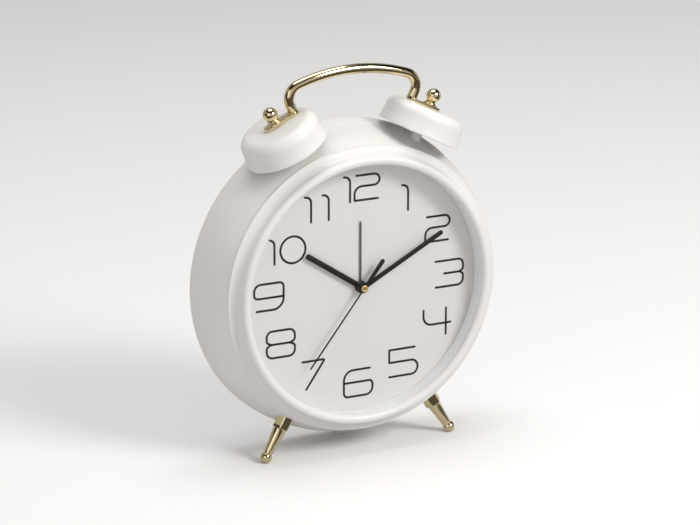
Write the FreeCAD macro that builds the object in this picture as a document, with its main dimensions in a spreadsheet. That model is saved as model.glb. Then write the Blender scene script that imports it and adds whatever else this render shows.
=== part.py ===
import FreeCAD, Part
import Sketcher
import math
import os
import re

# A large twin-bell quartz alarm clock: a drum with a coved front ring, two hat-shaped bells
# under a bent rod handle, two turned legs and a small rear foot, with the movement inside.
# Lengths are millimetres and angles are degrees.
# The model is drawn from the middle of the ring's front plane, with depth to the back.
# Every finished piece is then moved so that the origin is at the bottom centre of the clock.

os.makedirs("parts", exist_ok=True)
doc = FreeCAD.newDocument("alarm_clock")

SIZES = [
    ("fit_gap", 0.05, "gap between seated pieces"),
    ("run_gap", 0.05, "radial gap of a running shaft"),
    ("bore_gap", 0.1, "radial gap of a screw or stud in a plain hole"),
    ("over", 1.0, "how far a cutter reaches past the face that it opens"),
    # Ring, lens, dial
    ("lens_opening_r", 93.1, "inner edge of the ring's bead"),
    ("bead_r", 3.45, "radius of the bead's round section"),
    ("cove_r", 7.0, "radius of the cove between bead and rim"),
    ("rim_edge", 1.5, "thickness of the rim's edge"),
    ("lens_lap", 5.0, "how far the lens reaches behind the bead"),
    ("skirt_wall", 4.7, "wall of the skirt that holds the lens and enters the drum"),
    ("skirt_past", 4.05, "length of the skirt behind the dial"),
    ("lens_thick", 2.0, "lens thickness"),
    ("spacer_inset", 0.9, "inner wall outside the ring's opening"),
    ("spacer_depth", 11.5, "distance that the spacer keeps from lens to dial"),
    ("dial_thick", 0.8, "dial sheet"),
    ("dial_hole_r", 3.0, "hole for the hand arbors"),
    # Drum
    ("wall", 1.2, "drum sheet thickness"),
    ("rim_overhang", 0.4, "how far the ring's rim stands past the drum's front edge"),
    ("drum_swell", 10.4, "how much the drum widens towards the back"),
    ("drum_back", 60.0, "depth of the drum's back face"),
    ("back_round", 6.0, "rounding of the back edge"),
    ("lip_wide", 11.0, "width of the drum's flat back lip"),
    # Carrier behind the dial
    ("carrier_thick", 2.0, "carrier disc"),
    ("carrier_inset", 1.6, "carrier edge inside the drum's front edge"),
    ("carrier_rib", 1.6, "carrier rim wall"),
    ("dial_rest_wide", 8.1, "width of the ring that backs the dial"),
    # Back cover
    ("cover_lap", 8.0, "how far the cover lies on the drum's back lip"),
    ("cover_thick", 1.5, "back cover thickness"),
    ("well_gap", 2.0, "gap round the movement in the cover's square well"),
    ("well_wall", 1.4, "wall of the opening's well"),
    ("well_lift", 0.6, "well behind the movement's back"),
    # Screws
    ("screw_head_r", 2.4, "pan head radius"),
    ("screw_head", 1.2, "pan head height"),
    ("screw_r", 1.2, "screw shank radius"),
    ("screw_length", 6.0, "screw length under the head"),
    ("screw_slot", 0.6, "width of the head's slot"),
    ("screw_count", 4, "screws on a circle"),
    ("screw_start", 45.0, "angle of the first screw on a circle"),
    # Bells, posts, handle and finials, along an axis that leans from the drum's centre
    ("bell_lean", 26.3, "lean of each bell axis from upright"),
    ("bell_depth", 28.2, "depth of the bell axes behind the ring's face"),
    ("ball_r", 5.0, "finial ball radius"),
    ("neck_r", 2.6, "finial neck radius"),
    ("collar_r", 4.2, "finial collar radius"),
    ("washer_r", 5.3, "finial foot radius"),
    ("washer_thick", 1.0, "finial foot thickness"),
    ("collar_thick", 0.6, "straight part of the finial collar"),
    ("collar_slope", 0.9, "length of the slope from collar to neck"),
    ("neck_length", 0.43, "straight part of the neck"),
    ("dome_cover", 1.0, "wall left above the finial's bore"),
    ("bell_rim_r", 31.0, "bell rim radius"),
    ("bell_flare", 1.4, "how much the bell narrows from rim to shoulder"),
    ("bell_lift", 4.78, "rim plane above the drum's surface under the post"),
    ("bell_tall", 19.4, "height of a bell"),
    ("bell_shoulder", 8.0, "shoulder rounding of the bell"),
    ("bell_wall", 1.2, "bell sheet thickness"),
    ("post_r", 3.9, "bell post radius"),
    ("stud_r", 2.0, "stud radius through the bell and the case"),
    ("stud_end", 1.0, "stud past its nut"),
    ("foot_plate", 2.4, "thickness of the handle's flat foot"),
    ("foot_wide", 8.2, "width of the handle's flat foot"),
    ("foot_outer", 8.9, "foot beyond the finial, outwards"),
    ("foot_inner", 19.3, "foot beyond the finial, inwards"),
    ("rod_r", 3.6, "handle rod radius"),
    ("crown_rise", 32.8, "middle of the rod at its top, above the middles of the feet"),
    ("crown_curve", 134.5, "curvature radius of the handle's crown"),
    ("crown_inset", 18.6, "ends of the crown arc, inside the middles of the feet"),
    ("shoulder_bend", 10.5, "bend radius of the handle's shoulders"),
    ("nut_r", 3.9, "circumradius of the inner nuts"),
    ("nut_thick", 2.4, "thickness of the inner nuts"),
    ("nut_clear", 0.8, "room round a nut in the carrier"),
    # Legs
    ("leg_splay", 32.1, "angle of each leg from straight down"),
    ("leg_forward", 5.3, "forward lean of each leg"),
    ("block_show", 7.47, "length of the hexagon block that stands out of the drum"),
    ("leg_joint_depth", 20.4, "depth of that joint"),
    ("hex_r", 6.5, "circumradius of the hexagon block"),
    ("block_seat", 4.53, "spare length of the block, which is shaped to the drum"),
    ("cone_top_r", 4.85, "cone at the block"),
    ("cone_foot_r", 3.0, "cone at the ball"),
    ("leg_length", 22.9, "joint to the middle of the ball"),
    ("foot_ball_r", 4.3, "foot ball radius"),
    ("foot_flat", 0.25, "depth of the ground flat under the ball"),
    ("rear_foot_depth", 53.0, "depth of the rear foot"),
    ("rear_foot_r", 5.0, "rear foot radius"),
    ("rear_stem_r", 2.6, "rear foot stem radius"),
    ("rear_bulb_thick", 1.5, "bulb that keeps the rear foot's stem in the drum"),
    # Movement case
    ("case_thick", 20.0, "movement thickness"),
    ("case_wall", 1.3, "movement wall"),
    ("case_split", 9.0, "depth of the front shell"),
    ("ear_length", 7.0, "fixing ear beside the movement"),
    ("ear_wide", 10.0, "width of a fixing ear"),
    ("ear_thick", 1.6, "thickness of a fixing ear"),
    # Battery
    ("cell_r", 7.15, "battery radius"),
    ("cell_length", 48.6, "battery body length"),
    ("cell_nub_r", 2.7, "battery contact button"),
    ("cell_nub", 1.0, "height of the contact button"),
    ("bay_height", 15.2, "inner height of the battery bay"),
    ("bay_skin", 0.3, "thin wall of the bay inside the case wall"),
    ("contact_thick", 0.4, "contact strip"),
    ("contact_wide", 8.0, "width of a contact plate"),
    ("contact_tall", 10.0, "height of a contact plate"),
    ("spring_reach", 2.4, "room for the battery spring"),
    ("spring_r", 3.2, "radius of the battery spring"),
    # Arbors and wheels
    ("second_arbor_r", 0.5, "second arbor"),
    ("minute_pipe_r", 1.05, "minute pipe, outside"),
    ("hour_pipe_r", 1.75, "hour pipe, outside"),
    ("alarm_pipe_r", 2.5, "alarm pipe, outside"),
    ("arbor_r", 0.4, "train arbors"),
    ("knob_arbor_r", 1.0, "arbors of the setting knobs"),
    ("wheel_thick", 0.8, "thickness of a train wheel"),
    ("alarm_room", 0.6, "front wall to the alarm wheel"),
    ("hour_room", 1.1, "alarm wheel to the hour wheel"),
    ("layer_room", 0.8, "one wheel, or the plate, to the next"),
    ("fine_room", 1.0, "third, second and fifth wheel from each other"),
    ("rotor_room", 2.2, "middle plate to the middle of the rotor"),
    ("pinion_lap", 0.2, "how far a pinion starts in front of the wheel that it meets"),
    ("motion_lead", 0.4, "start of the motion wheel behind the cannon pinion's"),
    ("pipe_inset", 0.2, "end of a pipe inside its hand's hub"),
    ("nose", 1.0, "end of the third arbor in front of its pinion"),
    ("train_reach", 7.92, "centre distance of the fine wheels"),
    ("motion_reach", 10.0, "centre distance of the motion work"),
    ("alarm_reach", 16.0, "centre distance of the alarm setting wheels"),
    ("rotor_reach", 5.6, "centre distance of rotor and fifth wheel"),
    ("plate_depth", 10.7, "front of the middle plate behind the movement's face"),
    ("plate_thick", 0.8, "middle plate"),
    ("knob_r", 7.0, "setting knob radius"),
    ("knob_thick", 5.0, "setting knob length"),
    ("knob_flutes", 24, "grip flutes on a knob"),
    ("plate_left", 14.8, "edges of the middle plate from the hand arbors: left"),
    ("plate_right", 16.6, "right"),
    ("plate_low", 9.8, "below"),
    ("plate_high", 23.6, "above"),
    ("post_inset", 1.8, "plate posts inside the plate's corners"),
    ("plate_post_r", 1.2, "plate post"),
    ("plate_boss_r", 1.0, "bosses that carry the stator on the plate"),
    ("third_bore_r", 1.3, "bore of the plate for the third wheel's pinion"),
    ("knob_gap", 1.3, "knob to the movement's back"),
    ("knob_cap", 1.0, "end wall of a knob over its arbor"),
    ("flute_r", 0.45, "grip flute of a knob"),
    # Stator, rotor and coil
    ("iron_thick", 0.6, "stator sheet"),
    ("iron_wide", 2.8, "width of the stator's arms"),
    ("pole_r", 5.0, "outside of the stator round the rotor"),
    ("pole_bore_r", 3.6, "bore of the stator round the rotor"),
    ("magnet_r", 3.0, "rotor magnet"),
    ("magnet_half", 1.1, "half the rotor magnet's length"),
    ("arm_x", 14.0, "upright arm of the stator, right of the hand arbors"),
    ("arm_low", 8.0, "lower arm, below the hand arbors"),
    ("arm_high", 8.2, "upper arm, above the hand arbors"),
    ("arm_end", 24.0, "right end of both arms"),
    ("coil_x", 21.2, "coil, right of the hand arbors"),
    ("core_wide", 2.0, "coil core width"),
    ("core_thick", 1.0, "coil core thickness"),
    ("coil_inset", 1.6, "ends of the coil inside the arms' middles"),
    ("sleeve_r", 1.6, "bobbin sleeve"),
    ("flange_r", 3.6, "bobbin flange"),
    ("flange_thick", 0.6, "thickness of a bobbin flange"),
    ("winding_r", 3.3, "coil winding"),
    # Circuit, buzzer and alarm slide
    ("board_gap", 0.5, "circuit board to the case wall"),
    ("board_wide", 10.8, "circuit board width"),
    ("board_low", 9.0, "circuit board below the hand arbors"),
    ("board_high", 21.0, "circuit board above the hand arbors"),
    ("board_thick", 0.8, "circuit board"),
    ("peg_r", 1.4, "pegs under the circuit board"),
    ("peg_inset", 3.0, "pegs inside the board's edges"),
    ("can_r", 1.1, "quartz can"),
    ("can_length", 6.5, "quartz can length"),
    ("can_x", 20.0, "quartz can, left of the hand arbors"),
    ("can_low", 3.0, "lower end of the can, below the hand arbors"),
    ("buzzer_r", 6.0, "buzzer"),
    ("buzzer_thick", 5.5, "buzzer length"),
    ("buzzer_inset", 9.0, "buzzer's middle inside the case's sides"),
    ("sound_r", 0.8, "sound hole"),
    ("sound_pitch", 3.0, "distance of the sound holes"),
    ("slide_inset", 7.0, "slide's middle inside the case's left side"),
    ("slide_high", 5.2, "slide's middle above the hand arbors"),
    ("slide_wide", 3.6, "tab of the slide, along its travel"),
    ("slide_tall", 2.2, "tab of the slide, across its travel"),
    ("slide_show", 1.4, "tab outside the case"),
    ("slide_travel", 4.0, "travel of the slide"),
    ("slide_flange", 1.3, "flange round the tab, inside the case"),
    ("flange_room", 0.1, "room of the tab in its slot"),
    # Hands
    ("hand_thick", 0.5, "hour and minute hand sheet"),
    ("hour_length", 53.2, "hour hand from its centre"),
    ("hour_wide", 4.1, "hour hand width"),
    ("minute_length", 73.2, "minute hand from its centre"),
    ("minute_wide", 3.2, "minute hand width"),
    ("second_length", 70.1, "second hand from its centre"),
    ("second_wide", 0.9, "second hand width"),
    ("second_tail", 25.5, "second hand tail length"),
    ("second_tail_wide", 3.0, "second hand tail width"),
    ("alarm_length", 48.7, "alarm hand from its centre"),
    ("alarm_wide", 1.4, "alarm hand width"),
    ("thin_hand", 0.3, "second and alarm hand sheet"),
    ("hour_hub_r", 4.3, "hour hand hub"),
    ("minute_hub_r", 3.9, "minute hand hub"),
    ("alarm_hub_r", 4.5, "alarm hand hub"),
    ("boss_r", 2.5, "second hand boss"),
    ("boss_bore_r", 1.12, "dark middle of the boss"),
    ("boss_sink", 0.6, "depth of that middle"),
    ("hub_thick", 1.7, "hub length"),
    ("hand_gap", 0.6, "gap between one hub and the next"),
    ("hour_rest", 303.6, "hour hand angle, clockwise from twelve"),
    ("minute_rest", 62.0, "minute hand angle"),
    ("second_rest", 218.2, "second hand angle"),
    ("alarm_rest", 0.0, "alarm hand angle"),
]

sheet = doc.addObject("Spreadsheet::Sheet", "sizes")
for row, (alias, number, note) in enumerate(SIZES, start=1):
    sheet.set(f"A{row}", note)
    sheet.set(f"B{row}", str(number))
    sheet.setAlias(f"B{row}", alias)
doc.recompute()
ALIASES = {alias for alias, number, note in SIZES}

# Lengths that follow from the sizes above, each a text in the names of the sheet and of this list.
DERIVED = {
    "bead_mid_r": "lens_opening_r + bead_r",
    "bead_outer_r": "lens_opening_r + 2 * bead_r",
    "rim_r": "bead_outer_r + cove_r",
    "lens_r": "lens_opening_r + lens_lap",
    "skirt_r": "lens_r + skirt_wall",
    "spacer_inner_r": "lens_opening_r + spacer_inset",
    "rim_back": "bead_r + cove_r + rim_edge",
    "lens_front": "bead_r + fit_gap",
    "spacer_front": "lens_front + lens_thick + fit_gap",
    "dial_front": "spacer_front + spacer_depth + fit_gap",
    "dial_back": "dial_front + dial_thick",
    "skirt_end": "dial_back + skirt_past",
    "cell_room": "cell_length + cell_nub + 2 * contact_thick + spring_reach",
    "case_wide": "cell_room + 2 * (case_wall + bay_skin)",
    "case_front": "dial_back + fit_gap",
    "case_back": "case_front + case_thick",
    "knob_back": "case_back + knob_gap + knob_thick",
    "split_depth": "case_front + case_split",
    "carrier_front": "skirt_end + fit_gap",
    "carrier_back": "carrier_front + carrier_thick",
    "drum_front": "rim_back + fit_gap",
    "drum_front_r": "rim_r - rim_overhang",
    "drum_r": "drum_front_r + drum_swell",
    "back_lip_r": "drum_r - back_round - lip_wide",
    "cover_r": "back_lip_r + cover_lap",
    "cover_screw_pitch_r": "(back_lip_r + cover_r) / 2",
    "carrier_r": "drum_front_r - carrier_inset",
    "dial_rest_inner_r": "lens_r - dial_rest_wide",
    "well_inner": "case_wide + 2 * well_gap",
    "side_end": "drum_back - back_round",
    "side_rise": "drum_r - drum_front_r",
    "side_curve": "((side_end - drum_front)^2 + side_rise^2) / (2 * side_rise)",
    "side_mid": "drum_r - side_curve",
    "inner_curve": "side_curve - wall",
    "cover_front": "drum_back + fit_gap",
    "cover_back": "cover_front + cover_thick",
    "carrier_screw_pitch_r": "(lens_r + skirt_r) / 2",
    "bell_side_r": "bell_rim_r - bell_flare",
    "bell_rim_height": "post_surface + bell_lift",
    "bell_top_height": "bell_rim_height + bell_tall",
    "flare_end": "bell_tall - bell_shoulder",
    "flare_rise": "bell_rim_r - bell_side_r",
    "flare_curve": "(flare_end^2 + flare_rise^2) / (2 * flare_rise)",
    "foot_top": "bell_top_height + foot_plate",
    "ball_rise": "washer_thick + collar_thick + collar_slope + neck_length + sqrt(ball_r^2 - neck_r^2)",
    "ball_height": "foot_top + ball_rise",
    "crown_height": "foot_top * cos(bell_lean) + crown_rise",
    "crown_half": "foot_top * sin(bell_lean) - crown_inset",
    "hex_length": "block_show + block_seat",
    "leg_joint_height": "leg_surface + block_show",
    "post_surface": "side_mid + sqrt(side_curve^2 - (side_end - bell_depth)^2)",
    "post_inside": "post_surface - 2 * wall - post_r * (side_end - bell_depth) / side_curve",
    "hex_depth": "leg_joint_depth + hex_length * sin(leg_forward)",
    "leg_surface": "side_mid + sqrt(side_curve^2 - (side_end - hex_depth)^2)",
    "leg_inside": "leg_surface - 2 * wall - nut_r * (side_end - hex_depth) / side_curve",
    "leg_reach": "leg_joint_height + leg_length * cos(leg_forward)",
    "axis_height": "leg_reach * cos(leg_splay) + foot_ball_r - foot_flat",
    "middle_depth": "(bell_depth - bell_rim_r + cover_back + screw_head) / 2",
    # Layers of the movement, counted from its front face, and of the hands, counted from the dial.
    "inner_front": "case_front + case_wall",
    "inner_back": "case_back - case_wall",
    "alarm_layer": "inner_front + alarm_room",
    "hour_layer": "alarm_layer + wheel_thick + hour_room",
    "cannon_layer": "hour_layer + wheel_thick + layer_room",
    "centre_layer": "plate_front - wheel_thick - layer_room",
    "plate_front": "case_front + plate_depth",
    "plate_back": "plate_front + plate_thick",
    "third_layer": "plate_back + layer_room",
    "second_layer": "third_layer + wheel_thick + fine_room",
    "fifth_layer": "second_layer + wheel_thick + fine_room",
    "rotor_middle": "plate_back + rotor_room",
    "alarm_hub_back": "dial_front - hand_gap",
    "alarm_hub_front": "alarm_hub_back - hub_thick / 2",
    "hour_hub_back": "alarm_hub_front - hand_gap",
    "hour_hub_front": "hour_hub_back - hub_thick",
    "minute_hub_back": "hour_hub_front - hand_gap",
    "minute_hub_front": "minute_hub_back - hub_thick",
    "boss_back": "minute_hub_front - hand_gap",
    "boss_front": "boss_back - hub_thick",
    "boss_middle": "boss_back - hub_thick / 2",
}


def expand(text):
    """Write a text in the names of the sheet and of DERIVED as an expression on the sheet."""
    def swap(match):
        word = match.group(0)
        if word in DERIVED:
            return "(" + expand(DERIVED[word]) + ")"
        if word in ALIASES:
            return "sizes." + word
        return word
    return re.sub(r"[A-Za-z_]\w*", swap, str(text))


def size(text):
    """The number that a text stands for."""
    return float(sheet.evalExpression(expand(text)))


def bind(thing, **texts):
    """Tie properties of an object to the sheet."""
    for name, text in texts.items():
        thing.setExpression(name, expand(text))
    return thing


def put(thing, x="0", y="0", z="0", pitch="0", roll="0"):
    """Place a piece in the drawing frame: first rolled about X, then pitched about Y."""
    texts = [expand(text) for text in (x, y, z, pitch, roll)]
    form = "placement(vector({}; {}; {}); rotation(0; {}; {}))"
    thing.setExpression("Placement", form.format(*texts))
    return thing


FINISHED = []


def finish(thing, label, x="0", y="0", z="0", pitch="0", roll="0"):
    """Name a finished piece and move it to the clock's own frame."""
    thing.Label = label
    put(thing, x, f"{y} - middle_depth", f"{z} + axis_height", pitch, roll)
    FINISHED.append(thing)
    return thing


def box(name, x0, y0, z0, x1, y1, z1):
    """A block between two corners, each given as a text."""
    block = doc.addObject("Part::Box", name)
    bind(block, Length=f"({x1}) - ({x0})", Width=f"({y1}) - ({y0})", Height=f"({z1}) - ({z0})")
    return put(block, x0, y0, z0)


def rod(name, radius, y0, y1, x="0", z="0"):
    """A round bar along the depth, from y0 to y1."""
    bar = doc.addObject("Part::Cylinder", name)
    bind(bar, Radius=radius, Height=f"({y1}) - ({y0})")
    return put(bar, x, y0, z, roll="-90")


def stick(name, radius, start, end, place):
    """A round bar on a leaning axis. place(text) gives the keywords of put for a distance."""
    bar = doc.addObject("Part::Cylinder", name)
    bind(bar, Radius=radius, Height=f"({end}) - ({start})")
    return put(bar, **place(start))


def fuse(name, *parts):
    whole = doc.addObject("Part::MultiFuse", name)
    whole.Shapes = list(parts)
    return whole


def cut(name, base, *tools):
    whole = doc.addObject("Part::Cut", name)
    whole.Base = base
    whole.Tool = tools[0] if len(tools) == 1 else fuse(name + "_tools", *tools)
    return whole


def plane_of(body, role):
    return next(plane for plane in body.Origin.OriginFeatures if plane.Role == role)


def turned(name, axis, vertices):
    """A turned body. axis is "Y" for the drum's axis or "Z" for the piece's own upright axis.

    A vertex is (along, radius), or (along, radius, bend, turn) where the edge that arrives at it
    is an arc of radius bend that turns left (1) or right (-1) in the plane of along and radius.
    """
    body = doc.addObject("PartDesign::Body", name)
    sketch = body.newObject("Sketcher::SketchObject", name + "_profile")
    sketch.AttachmentSupport = [(plane_of(body, "YZ_Plane" if axis == "Y" else "XZ_Plane"), "")]
    sketch.MapMode = "FlatFace"
    order = (0, 1) if axis == "Y" else (1, 0)
    points = []
    for vertex in vertices:
        pair = (size(vertex[0]), size(vertex[1]))
        points.append(FreeCAD.Vector(pair[order[0]], pair[order[1]], 0))
    starts = []
    ends = []
    for index, vertex in enumerate(vertices):
        first = points[index - 1]
        last = points[index]
        if len(vertex) == 2:
            sketch.addGeometry(Part.LineSegment(first, last), False)
            starts.append(1)
            ends.append(2)
            continue
        bend = size(vertex[2])
        left = vertex[3] > 0 if axis == "Y" else vertex[3] < 0
        chord = last - first
        across = FreeCAD.Vector(-chord.y, chord.x, 0).normalize()
        if not left:
            across = -across
        reach = math.sqrt(max(bend ** 2 - chord.Length ** 2 / 4, 0))
        centre = (first + last) / 2 + across * reach
        begin, stop = (first, last) if left else (last, first)
        a0 = math.atan2(begin.y - centre.y, begin.x - centre.x)
        a1 = math.atan2(stop.y - centre.y, stop.x - centre.x)
        if a1 < a0:
            a1 += 2 * math.pi
        circle = Part.Circle(centre, FreeCAD.Vector(0, 0, 1), bend)
        sketch.addGeometry(Part.ArcOfCircle(circle, a0, a1), False)
        starts.append(1 if left else 2)
        ends.append(2 if left else 1)
    count = len(vertices)
    for index, vertex in enumerate(vertices):
        follower = (index + 1) % count
        sketch.addConstraint(
            Sketcher.Constraint("Coincident", index, ends[index], follower, starts[follower]))
        for kind, text, value in (("DistanceX", vertex[order[0]], points[index].x),
                                  ("DistanceY", vertex[order[1]], points[index].y)):
            rule = Sketcher.Constraint(kind, -1, 1, index, ends[index], value)
            number = sketch.addConstraint(rule)
            sketch.setExpression(f"Constraints[{number}]", expand(text))
        if len(vertex) > 2:
            number = sketch.addConstraint(Sketcher.Constraint("Radius", index, size(vertex[2])))
            sketch.setExpression(f"Constraints[{number}]", expand(vertex[2]))
    turning = body.newObject("PartDesign::Revolution", name + "_turning")
    turning.Profile = sketch
    turning.ReferenceAxis = (sketch, ["H_Axis" if axis == "Y" else "V_Axis"])
    turning.Angle = 360
    return body


def screw_angles():
    """Angles of the screws on a circle, from X to Z."""
    count = int(size("screw_count"))
    return [size("screw_start") + 360 * index / count for index in range(count)]


def ring_of_pegs(name, radius, y0, y1, pitch_r):
    """Round bars along the depth, evenly spaced on a circle about the drum's axis."""
    pegs = []
    for degrees in screw_angles():
        angle = math.radians(degrees)
        foot = FreeCAD.Vector(math.cos(angle), 0, math.sin(angle)) * size(pitch_r)
        foot.y = size(y0)
        pegs.append(Part.makeCylinder(size(radius), size(y1) - size(y0), foot, FreeCAD.Vector(0, 1, 0)))
    whole = doc.addObject("Part::Feature", name)
    whole.Shape = Part.makeCompound(pegs)
    return whole


def screw_shape(foot, heading):
    """A pan head screw: foot is under the head, and heading points out of the head."""
    shank = Part.makeCylinder(size("screw_r"), size("screw_length"), foot, -heading)
    head = Part.makeCylinder(size("screw_head_r"), size("screw_head"), foot, heading)
    reach = 2 * size("screw_head_r")
    slot = Part.makeBox(reach, size("screw_slot"), size("screw_head"))
    slot.translate(FreeCAD.Vector(-reach / 2, -size("screw_slot") / 2, size("screw_head") / 2))
    turn = FreeCAD.Rotation(FreeCAD.Vector(0, 0, 1), heading)
    slot.Placement = FreeCAD.Placement(foot, turn) * slot.Placement
    return shank.fuse(head).cut(slot)


def settled(label, shape):
    """A finished piece whose shape is made by functions: it is moved after its shape is set."""
    piece = doc.addObject("Part::Feature", label)
    piece.Shape = shape
    piece.Label = label
    shift = FreeCAD.Vector(0, -size("middle_depth"), size("axis_height"))
    piece.Placement = FreeCAD.Placement(shift, FreeCAD.Rotation())
    FINISHED.append(piece)
    return piece


def on_bell(side):
    """Places along one bell axis, by distance from the drum's axis."""
    def place(distance):
        return {"x": f"{side} * ({distance}) * sin(bell_lean)", "y": "bell_depth",
                "z": f"({distance}) * cos(bell_lean)", "pitch": f"{side} * bell_lean"}
    return place


def on_leg(side):
    """Places along one leg axis, by distance below the joint of block and cone."""
    def place(distance):
        across = f"(leg_joint_height + ({distance}) * cos(leg_forward))"
        return {"x": f"{side} * {across} * sin(leg_splay)",
                "y": f"leg_joint_depth - ({distance}) * sin(leg_forward)",
                "z": f"0 - {across} * cos(leg_splay)",
                "pitch": f"{side} * (180 - leg_splay)", "roll": "leg_forward"}
    return place


SIDES = (("left", -1), ("right", 1))

# Ring: a round bead round the lens, then a hollow cove that flares to the rim.
# Its skirt enters the drum, and takes the carrier's screws at its back end.
ring_blank = turned("ring_blank", "Y", [
    ("bead_r", "lens_opening_r"),
    ("0", "bead_mid_r", "bead_r", -1),
    ("bead_r", "bead_outer_r", "bead_r", -1),
    ("bead_r + cove_r", "rim_r", "cove_r", 1),
    ("rim_back", "rim_r"),
    ("rim_back", "skirt_r"),
    ("skirt_end", "skirt_r"),
    ("skirt_end", "lens_r + fit_gap"),
    ("bead_r", "lens_r + fit_gap"),
])
ring_pilots = ring_of_pegs("ring_pilots", "screw_r", "carrier_back - screw_length - fit_gap",
                           "skirt_end + over", "carrier_screw_pitch_r")
finish(cut("ring", ring_blank, ring_pilots), "bezel_ring")

# Lens, spacer and dial, dropped into the ring from behind.
finish(rod("lens_disc", "lens_r", "lens_front", "lens_front + lens_thick"), "lens",
       y="lens_front", roll="-90")
finish(turned("spacer", "Y", [
    ("spacer_front", "spacer_inner_r"),
    ("spacer_front", "lens_r"),
    ("spacer_front + spacer_depth", "lens_r"),
    ("spacer_front + spacer_depth", "spacer_inner_r"),
]), "spacer_ring")
finish(turned("dial", "Y", [
    ("dial_front", "dial_hole_r"),
    ("dial_front", "lens_r"),
    ("dial_back", "lens_r"),
    ("dial_back", "dial_hole_r"),
]), "dial_plate")

# Carrier: a moulded disc behind the dial with a rim wall that clamps the drum's front flange,
# an inner ring that backs the dial, and a square window for the movement.
carrier_blank = turned("carrier_blank", "Y", [
    ("carrier_front", "dial_hole_r"),
    ("carrier_front", "dial_rest_inner_r"),
    ("dial_back + fit_gap", "dial_rest_inner_r"),
    ("dial_back + fit_gap", "lens_r - fit_gap"),
    ("carrier_front", "lens_r - fit_gap"),
    ("carrier_front", "carrier_r - carrier_rib"),
    ("drum_front + wall + fit_gap", "carrier_r - carrier_rib"),
    ("drum_front + wall + fit_gap", "carrier_r"),
    ("carrier_back", "carrier_r"),
    ("carrier_back", "dial_hole_r"),
])
half_window = "case_wide / 2 + bore_gap"
carrier_window = box("carrier_window", f"0 - ({half_window})", "carrier_front - over",
                     f"0 - ({half_window})", half_window, "carrier_back + over", half_window)
carrier_holes = ring_of_pegs("carrier_holes", "screw_r + bore_gap", "carrier_front - over",
                             "carrier_back + over", "carrier_screw_pitch_r")
ear_hole_x = "case_wide / 2 + ear_length / 2"
ear_pilots = [rod(f"ear_pilot_{name}", "screw_r", "carrier_front - over", "carrier_back + over",
                  x=f"{side} * ({ear_hole_x})") for name, side in SIDES]
nut_rooms = [stick(f"nut_room_{name}", "nut_r + nut_clear", "skirt_r - leg_joint_height", "0", on_leg(side))
             for name, side in SIDES]
finish(cut("carrier", carrier_blank, carrier_window, carrier_holes, *ear_pilots, *nut_rooms), "dial_carrier")

# Drum: a spun sheet shell that widens to the back, with a front flange and a back lip.
# The same outline, made solid, shapes the ends of the posts and legs that stand on it.
drum_outline = [
    ("side_end", "drum_r", "side_curve", -1),
    ("drum_back", "drum_r - back_round", "back_round", -1),
]
drum_blank = turned("drum_blank", "Y", [
    ("drum_front", "skirt_r + bore_gap"),
    ("drum_front", "drum_front_r"),
    *drum_outline,
    ("drum_back", "back_lip_r"),
    ("drum_back - wall", "back_lip_r"),
    ("drum_back - wall", "drum_r - back_round"),
    ("side_end", "drum_r - wall", "back_round - wall", 1),
    ("drum_front + wall",
     "side_mid + sqrt(inner_curve^2 - (side_end - drum_front - wall)^2)", "inner_curve", 1),
    ("drum_front + wall", "skirt_r + bore_gap"),
])
drum_solid = turned("drum_solid", "Y", [
    ("drum_front", "0"),
    ("drum_front", "drum_front_r"),
    *drum_outline,
    ("drum_back", "0"),
])
drum_holes = [
    ring_of_pegs("lip_holes", "screw_r", "drum_back - wall - over", "drum_back + over",
                 "cover_screw_pitch_r"),
]
for name, side in SIDES:
    drum_holes.append(stick(f"post_hole_{name}", "stud_r + fit_gap", "post_inside - over",
                            "post_surface + over", on_bell(side)))
    drum_holes.append(stick(f"leg_hole_{name}", "stud_r + fit_gap", "0 - hex_length - over",
                            "0", on_leg(side)))
rear_hole = doc.addObject("Part::Cylinder", "rear_hole")
bind(rear_hole, Radius="rear_stem_r + fit_gap", Height="2 * back_round")
put(rear_hole, y="rear_foot_depth", z="0 - drum_r - over")
drum_holes.append(rear_hole)
finish(cut("drum", drum_blank, *drum_holes), "drum_shell")

# Back cover: a moulded disc with a square well, so that the movement's back can be reached.
cover_disc = rod("cover_disc", "cover_r", "cover_front", "cover_back")
outer_half = "well_inner / 2 + well_wall"
well_outside = box("well_outside", f"0 - ({outer_half})", "case_back + well_lift", f"0 - ({outer_half})",
                   outer_half, "cover_back", outer_half)
well_inside = box("well_inside", "0 - well_inner / 2", "case_back - over", "0 - well_inner / 2",
                  "well_inner / 2", "cover_back + over", "well_inner / 2")
cover_holes = ring_of_pegs("cover_holes", "screw_r + bore_gap", "cover_front - over", "cover_back + over",
                           "cover_screw_pitch_r")
finish(cut("cover", fuse("cover_whole", cover_disc, well_outside), well_inside, cover_holes), "back_cover")

# Screws: four hold the carrier to the ring, four the cover to the drum, two the movement.
def screw_group(label, pitch_r, depth, spots):
    screws = []
    for angle in spots:
        turn = math.radians(angle)
        foot = FreeCAD.Vector(math.cos(turn), 0, math.sin(turn)) * size(pitch_r)
        foot.y = size(depth)
        screws.append(screw_shape(foot, FreeCAD.Vector(0, 1, 0)))
    settled(label, Part.makeCompound(screws))


screw_group("carrier_screws", "carrier_screw_pitch_r", "carrier_back", screw_angles())
screw_group("cover_screws", "cover_screw_pitch_r", "cover_back", screw_angles())
screw_group("movement_screws", ear_hole_x, "carrier_back + fit_gap + ear_thick", [0, 180])

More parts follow.
